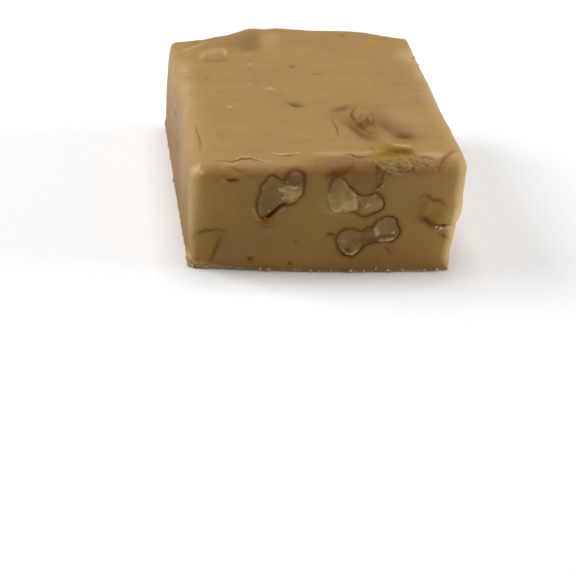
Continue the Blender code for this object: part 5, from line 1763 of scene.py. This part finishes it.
class FUDGE_OT_cut_walnuts(bpy.types.Operator):
    """Sets in the walnuts that the knife cut through"""

    bl_idname = "fudge.cut_walnuts"
    bl_label = "Cut walnuts"

    def execute(self, context):
        flesh, film = walnut_finish(), fudge_finish()
        tree = tree_of(plain_form())
        for name, (wall, depth, _) in CUT_WALNUTS.items():
            outline = cut_outline(name)
            nut = plug(name + "_cut", wall, depth, outline)
            apply(nut, "BOOLEAN", operation="INTERSECT", solver="MANIFOLD", object=plain_form())
            if name in FILMED_WALNUTS:
                set_attributes(nut, surface_marks(nut))
            else:
                self.lay_bare(context, nut, wall, outline, tree)
            smooth(nut, WALNUT_SMOOTH)
            finish = film if name in FILMED_WALNUTS else flesh
            settle(nut, name + "_cut", finish, "walnut", name)
        return {"FINISHED"}

    def lay_bare(self, context, nut, wall, outline, tree):
        """Gives the walnut's cut face the relief and the marks of its flesh."""
        sizes = context.scene.fudge_walnut_sizes
        apply(nut, "REMESH", mode="VOXEL", voxel_size=sizes.grain)
        points = points_of(nut.data)
        depths, ways = depth_in(tree, points), ways_at(points)
        x, y, _ = on_wall(points, ways, wall)
        edge = np.maximum(edge_distance(x, y, outline), 0)
        on_face = np.clip(1 - depths / FACE_DEPTH, 0, 1)
        pale = swells_at(points, ways, NUT_MARKS["pale"])
        standing = swells_at(points, ways, NUT_SWELLS)
        for size, height in NUT_WAVES:
            standing += height * noise_at(points, size)
        bare = on_face > 0
        crumbly = NUT_CRUMBLE * np.clip(pale[bare], 0, 1)
        standing[bare] += crumbly * crumbs_at(points[bare], CRUMB_CHUNKS)
        inner = np.clip(edge / FACE_ROUNDING, 0, 1)
        strength = 1 - faint_at(wall, x, y)
        standing = standing * inner - NUT_SINK * (1 - inner) * strength
        marks = {name: swells_at(points, ways, table) for name, table in NUT_MARKS.items()}
        marks["pale"] *= on_face
        marks["edge"] = edge * (on_face > EDGE_PART)
        marks["rim"] = np.where(on_face > RIM_PART, strength, 1)
        points += ways * (standing * on_face * MM)[:, None]
        set_points(nut.data, points)
        set_attributes(nut, marks)
        thin(nut, sizes.triangles)


class FUDGE_OT_kernels(bpy.types.Operator):
    """Sets in the kernel that stands out of the top and the broken one in its front edge"""

    bl_idname = "fudge.kernels"
    bl_label = "Kernels in the top"

    def execute(self, context):
        film = fudge_finish()
        for kernel, node in ((self.top_kernel(), "walnut_top"), (self.rim_kernel(), "walnut_rim")):
            thin(kernel, context.scene.fudge_walnut_sizes.kernel_triangles)
            self.mark(kernel)
            smooth(kernel, WALNUT_SMOOTH)
            settle(kernel, node + "_kernel", film, "walnut", node)
        return {"FINISHED"}

    def top_kernel(self):
        """The kernel that stands out of the top"""
        kernel = headed("top_kernel", KERNEL_SUBDIVISIONS, 0)
        points, normals = points_of(kernel.data), normals_of(kernel.data)
        for size, height in KERNEL_WAVES:
            points += normals * (height * MM * noise_at(points, size))[:, None]
        set_points(kernel.data, points)
        return kernel

    def rim_kernel(self):
        """The broken kernel, level with the top and crumbly at the front"""
        kernel = ragged("rim_kernel", KERNEL_SUBDIVISIONS, RIM_OVERLAP)
        points = points_of(kernel.data)
        depths, ways = depth_in(tree_of(plain_form()), points), ways_at(points)
        x, y, top = on_wall(points, ways, "top")
        level = top * swell(x, y, *RIM_TOP_SWELL) * MM
        broken = self.broken_face(points)
        rough = (broken + RIM_TOP_ROUGH * (1 - broken)) * waves_at(points, RIM_CHUNKS)
        level += (broken * RIM_FACE_RISE + rough) * MM
        level = np.maximum(level, RIM_LOWEST * MM)
        bare = -depths > level
        points[bare] += ways[bare] * (level + depths)[bare][:, None]
        set_points(kernel.data, points)
        return kernel

    def broken_face(self, points):
        """How much each point belongs to the rim kernel's broken front"""
        before = RIM_FACE_START - points[:, 1] / MM
        before += RIM_FACE_WANDER * noise_at(points, RIM_FACE_WAVE)
        return np.clip(before / RIM_FACE_SOFTNESS + 0.5, 0, 1)

    def mark(self, kernel):
        """Gives a kernel the marks that the fudge's material reads"""
        marks = surface_marks(kernel)
        points = points_of(kernel.data)
        x, y = points[:, 0] / MM, points[:, 1] / MM
        for name, specs in KERNEL_MARKS.items():
            for spec in specs:
                marks[name] += mark(x, y, spec)
        broken = self.broken_face(points)
        peaks = np.clip(0.5 + waves_at(points, RIM_CHUNKS) * PEAK_CONTRAST, 0, 1)
        # Painted shade in the broken face's hollows and painted highlights on its peaks
        for shares, where in ((HOLLOW_SHADE_MARKS, 1 - peaks), (PEAK_HIGHLIGHT_MARKS, peaks)):
            for name, most in shares.items():
                marks[name] += most * where * broken
        marks["olive"] *= 1 - OLIVE_LOSS * broken
        set_attributes(kernel, marks)


class FUDGE_OT_crumbs(bpy.types.Operator):
    """Scatters the crumbs along the foot, on the worn corner and on broken walnut"""

    bl_idname = "fudge.crumbs"
    bl_label = "Crumbs"

    def execute(self, context):
        colours = context.scene.fudge_colours
        tree = tree_of(plain_form())
        random.seed(CRUMB_SEED)
        pale_fudge = [c * FUDGE_CRUMB_LIGHT for c in colours.fudge_dry_and_highlight]
        light_fudge = [c * FUDGE_CRUMB_SHADE for c in colours.fudge]
        dull_cream = [c * NUT_CRUMB_LIGHT for c in colours.cream]
        kinds = (
            ("fudge_crumbs", FUDGE_CRUMBS, "fudge", pale_fudge, light_fudge),
            ("walnut_crumbs", NUT_CRUMBS, "walnut", dull_cream, colours.rust),
        )
        for name, runs, slot, light, shade in kinds:
            finish = crumb_finish(name, light, shade)
            shapes = [self.shape(i) for i in range(CRUMB_SHAPES)]
            crumbs = self.scatter(context, runs, shapes, tree)
            smooth(crumbs, CRUMB_SMOOTH)
            settle(crumbs, name, finish, slot)
            for shape in shapes:
                remove(shape)
        return {"FINISHED"}

    def shape(self, number):
        """One angular crumb, about 1 across."""
        obj = ball("crumb_shape", 1 if number % 2 else 2)
        for vert in obj.data.vertices:
            spot = vert.co * CRUMB_WAVE + Vector((number * CRUMB_SPACING, 0, 0))
            uneven = CRUMB_RADIUS + CRUMB_UNEVEN * noise.noise(spot)
            vert.co *= uneven + random.uniform(-CRUMB_ROUGH, CRUMB_ROUGH)
        return obj

    def scatter(self, context, runs, shapes, tree):
        """Drops copies of the shapes on the block along each run, and joins them."""
        made = []
        for wall, start, end, stray, count, small, large in runs:
            across, up, out = (Vector(v) for v in WALLS[wall])
            for _ in range(count):
                t = random.random()
                x = start[0] + (end[0] - start[0]) * t + random.gauss(0, stray)
                y = start[1] + (end[1] - start[1]) * t + random.gauss(0, stray)
                size = small + (large - small) * random.random() ** 2
                stretch = [random.uniform(*CRUMB_STRETCH) for _ in range(3)]
                angle = random.uniform(0, FULL_TURN)
                axis = Vector((random.gauss(0, 1), random.gauss(0, 1), 1))
                turn = Matrix.Rotation(angle, 4, axis)
                kind = random.random()
                high = y if wall == "top" else max(y, CRUMB_LOWEST)
                above = across * x * MM + up * high * MM + out * CRUMB_FROM
                place, normal, _, _ = tree.ray_cast(above, -out)
                if place is None:
                    continue
                crumb = random.choice(shapes).copy()
                crumb.data = crumb.data.copy()
                middle = place + normal * size * MM * (0.5 - CRUMB_SINK)
                middle.z = max(middle.z, size * MM * CRUMB_REST)
                scale = Matrix.Diagonal([s * size * MM for s in stretch]).to_4x4()
                crumb.data.transform(Matrix.Translation(middle) @ turn @ scale)
                set_attributes(crumb, {"kind": np.full(len(crumb.data.vertices), kind)})
                context.collection.objects.link(crumb)
                made.append(crumb)
        return join(made)


class FUDGE_OT_stage(bpy.types.Operator):
    """Sets the floor, the lights and the camera"""

    bl_idname = "fudge.stage"
    bl_label = "Floor, light and camera"

    def execute(self, context):
        stage = context.scene.fudge_stage
        deselect()
        bpy.ops.mesh.primitive_plane_add(size=FLOOR_SIZE, location=(0, 0, FLOOR_HEIGHT))
        floor = new_object("floor")
        bpy.ops.object.transform_apply(location=True)
        floor.data.materials.append(floor_finish(stage.floor))
        for name, (place, size, watts) in LIGHTS.items():
            self.light(context, name, place, size, getattr(stage, watts))
        world = bpy.data.worlds.new("sky")
        world.use_nodes = True
        background = world.node_tree.nodes["Background"]
        background.inputs["Color"].default_value = (1, 1, 1, 1)
        background.inputs["Strength"].default_value = stage.sky
        context.scene.world = world
        context.scene.view_settings.view_transform = "Standard"
        self.camera(context)
        return {"FINISHED"}

    def light(self, context, name, place, size, watts):
        """A square soft light that faces the block."""
        made = bpy.data.lights.new(name, "AREA")
        made.size = size
        made.energy = watts
        obj = bpy.data.objects.new(name, made)
        obj.location = place
        obj.rotation_euler = (Vector(place) - LIGHT_AIM).to_track_quat("Z", "Y").to_euler()
        context.scene.collection.objects.link(obj)

    def camera(self, context):
        """The camera looks down on the block from the front, a little from the left."""
        turn, rise = math.radians(CAMERA_TURN), math.radians(CAMERA_RISE)
        level = math.cos(rise)
        away = Vector((math.sin(turn) * level, -math.cos(turn) * level, math.sin(rise)))
        aim = CAMERA_AIM + CENTRE_SHIFT
        right = Vector((math.cos(turn), math.sin(turn), 0))
        roll = Matrix.Rotation(math.radians(CAMERA_ROLL), 3, "Z")
        facing = Matrix((right, away.cross(right), away)).transposed() @ roll
        made = bpy.data.cameras.new("camera")
        made.lens, made.sensor_width, made.clip_start = CAMERA_LENS, CAMERA_SENSOR, CAMERA_NEAR
        obj = bpy.data.objects.new("camera", made)
        obj.matrix_world = Matrix.Translation(aim + away * CAMERA_AWAY) @ facing.to_4x4()
        context.scene.collection.objects.link(obj)
        context.scene.camera = obj


class FUDGE_PT_panel(bpy.types.Panel):
    """Lists the block's pieces, sizes and colours"""

    bl_idname = "FUDGE_PT_panel"
    bl_label = "Walnut fudge square"
    bl_space_type = "VIEW_3D"
    bl_region_type = "UI"
    bl_category = "Fudge"

    def draw(self, context):
        for operator in OPERATORS:
            self.layout.operator(operator.bl_idname)
        for name in GROUPS:
            box = self.layout.box()
            group = getattr(context.scene, name)
            for key in group.__annotations__:
                box.prop(group, key)


OPERATORS = (
    FUDGE_OT_block, FUDGE_OT_cut_walnuts, FUDGE_OT_kernels, FUDGE_OT_crumbs, FUDGE_OT_stage)
GROUPS = {
    "fudge_block_sizes": FudgeBlockSizes,
    "fudge_walnut_sizes": FudgeWalnutSizes,
    "fudge_colours": FudgeColours,
    "fudge_stage": FudgeStage,
}


def register():
    for cls in (*GROUPS.values(), *OPERATORS, FUDGE_PT_panel):
        bpy.utils.register_class(cls)
    for name, group in GROUPS.items():
        setattr(bpy.types.Scene, name, bpy.props.PointerProperty(type=group))


def unregister():
    for name in GROUPS:
        delattr(bpy.types.Scene, name)
    for cls in reversed((*GROUPS.values(), *OPERATORS, FUDGE_PT_panel)):
        bpy.utils.unregister_class(cls)


def main():
    register()
    bpy.ops.fudge.block()
    bpy.ops.fudge.cut_walnuts()
    bpy.ops.fudge.kernels()
    bpy.ops.fudge.crumbs()
    bpy.ops.fudge.stage()
    remove(plain_form())
    remove(smooth_form())


if __name__ == "__main__":
    main()
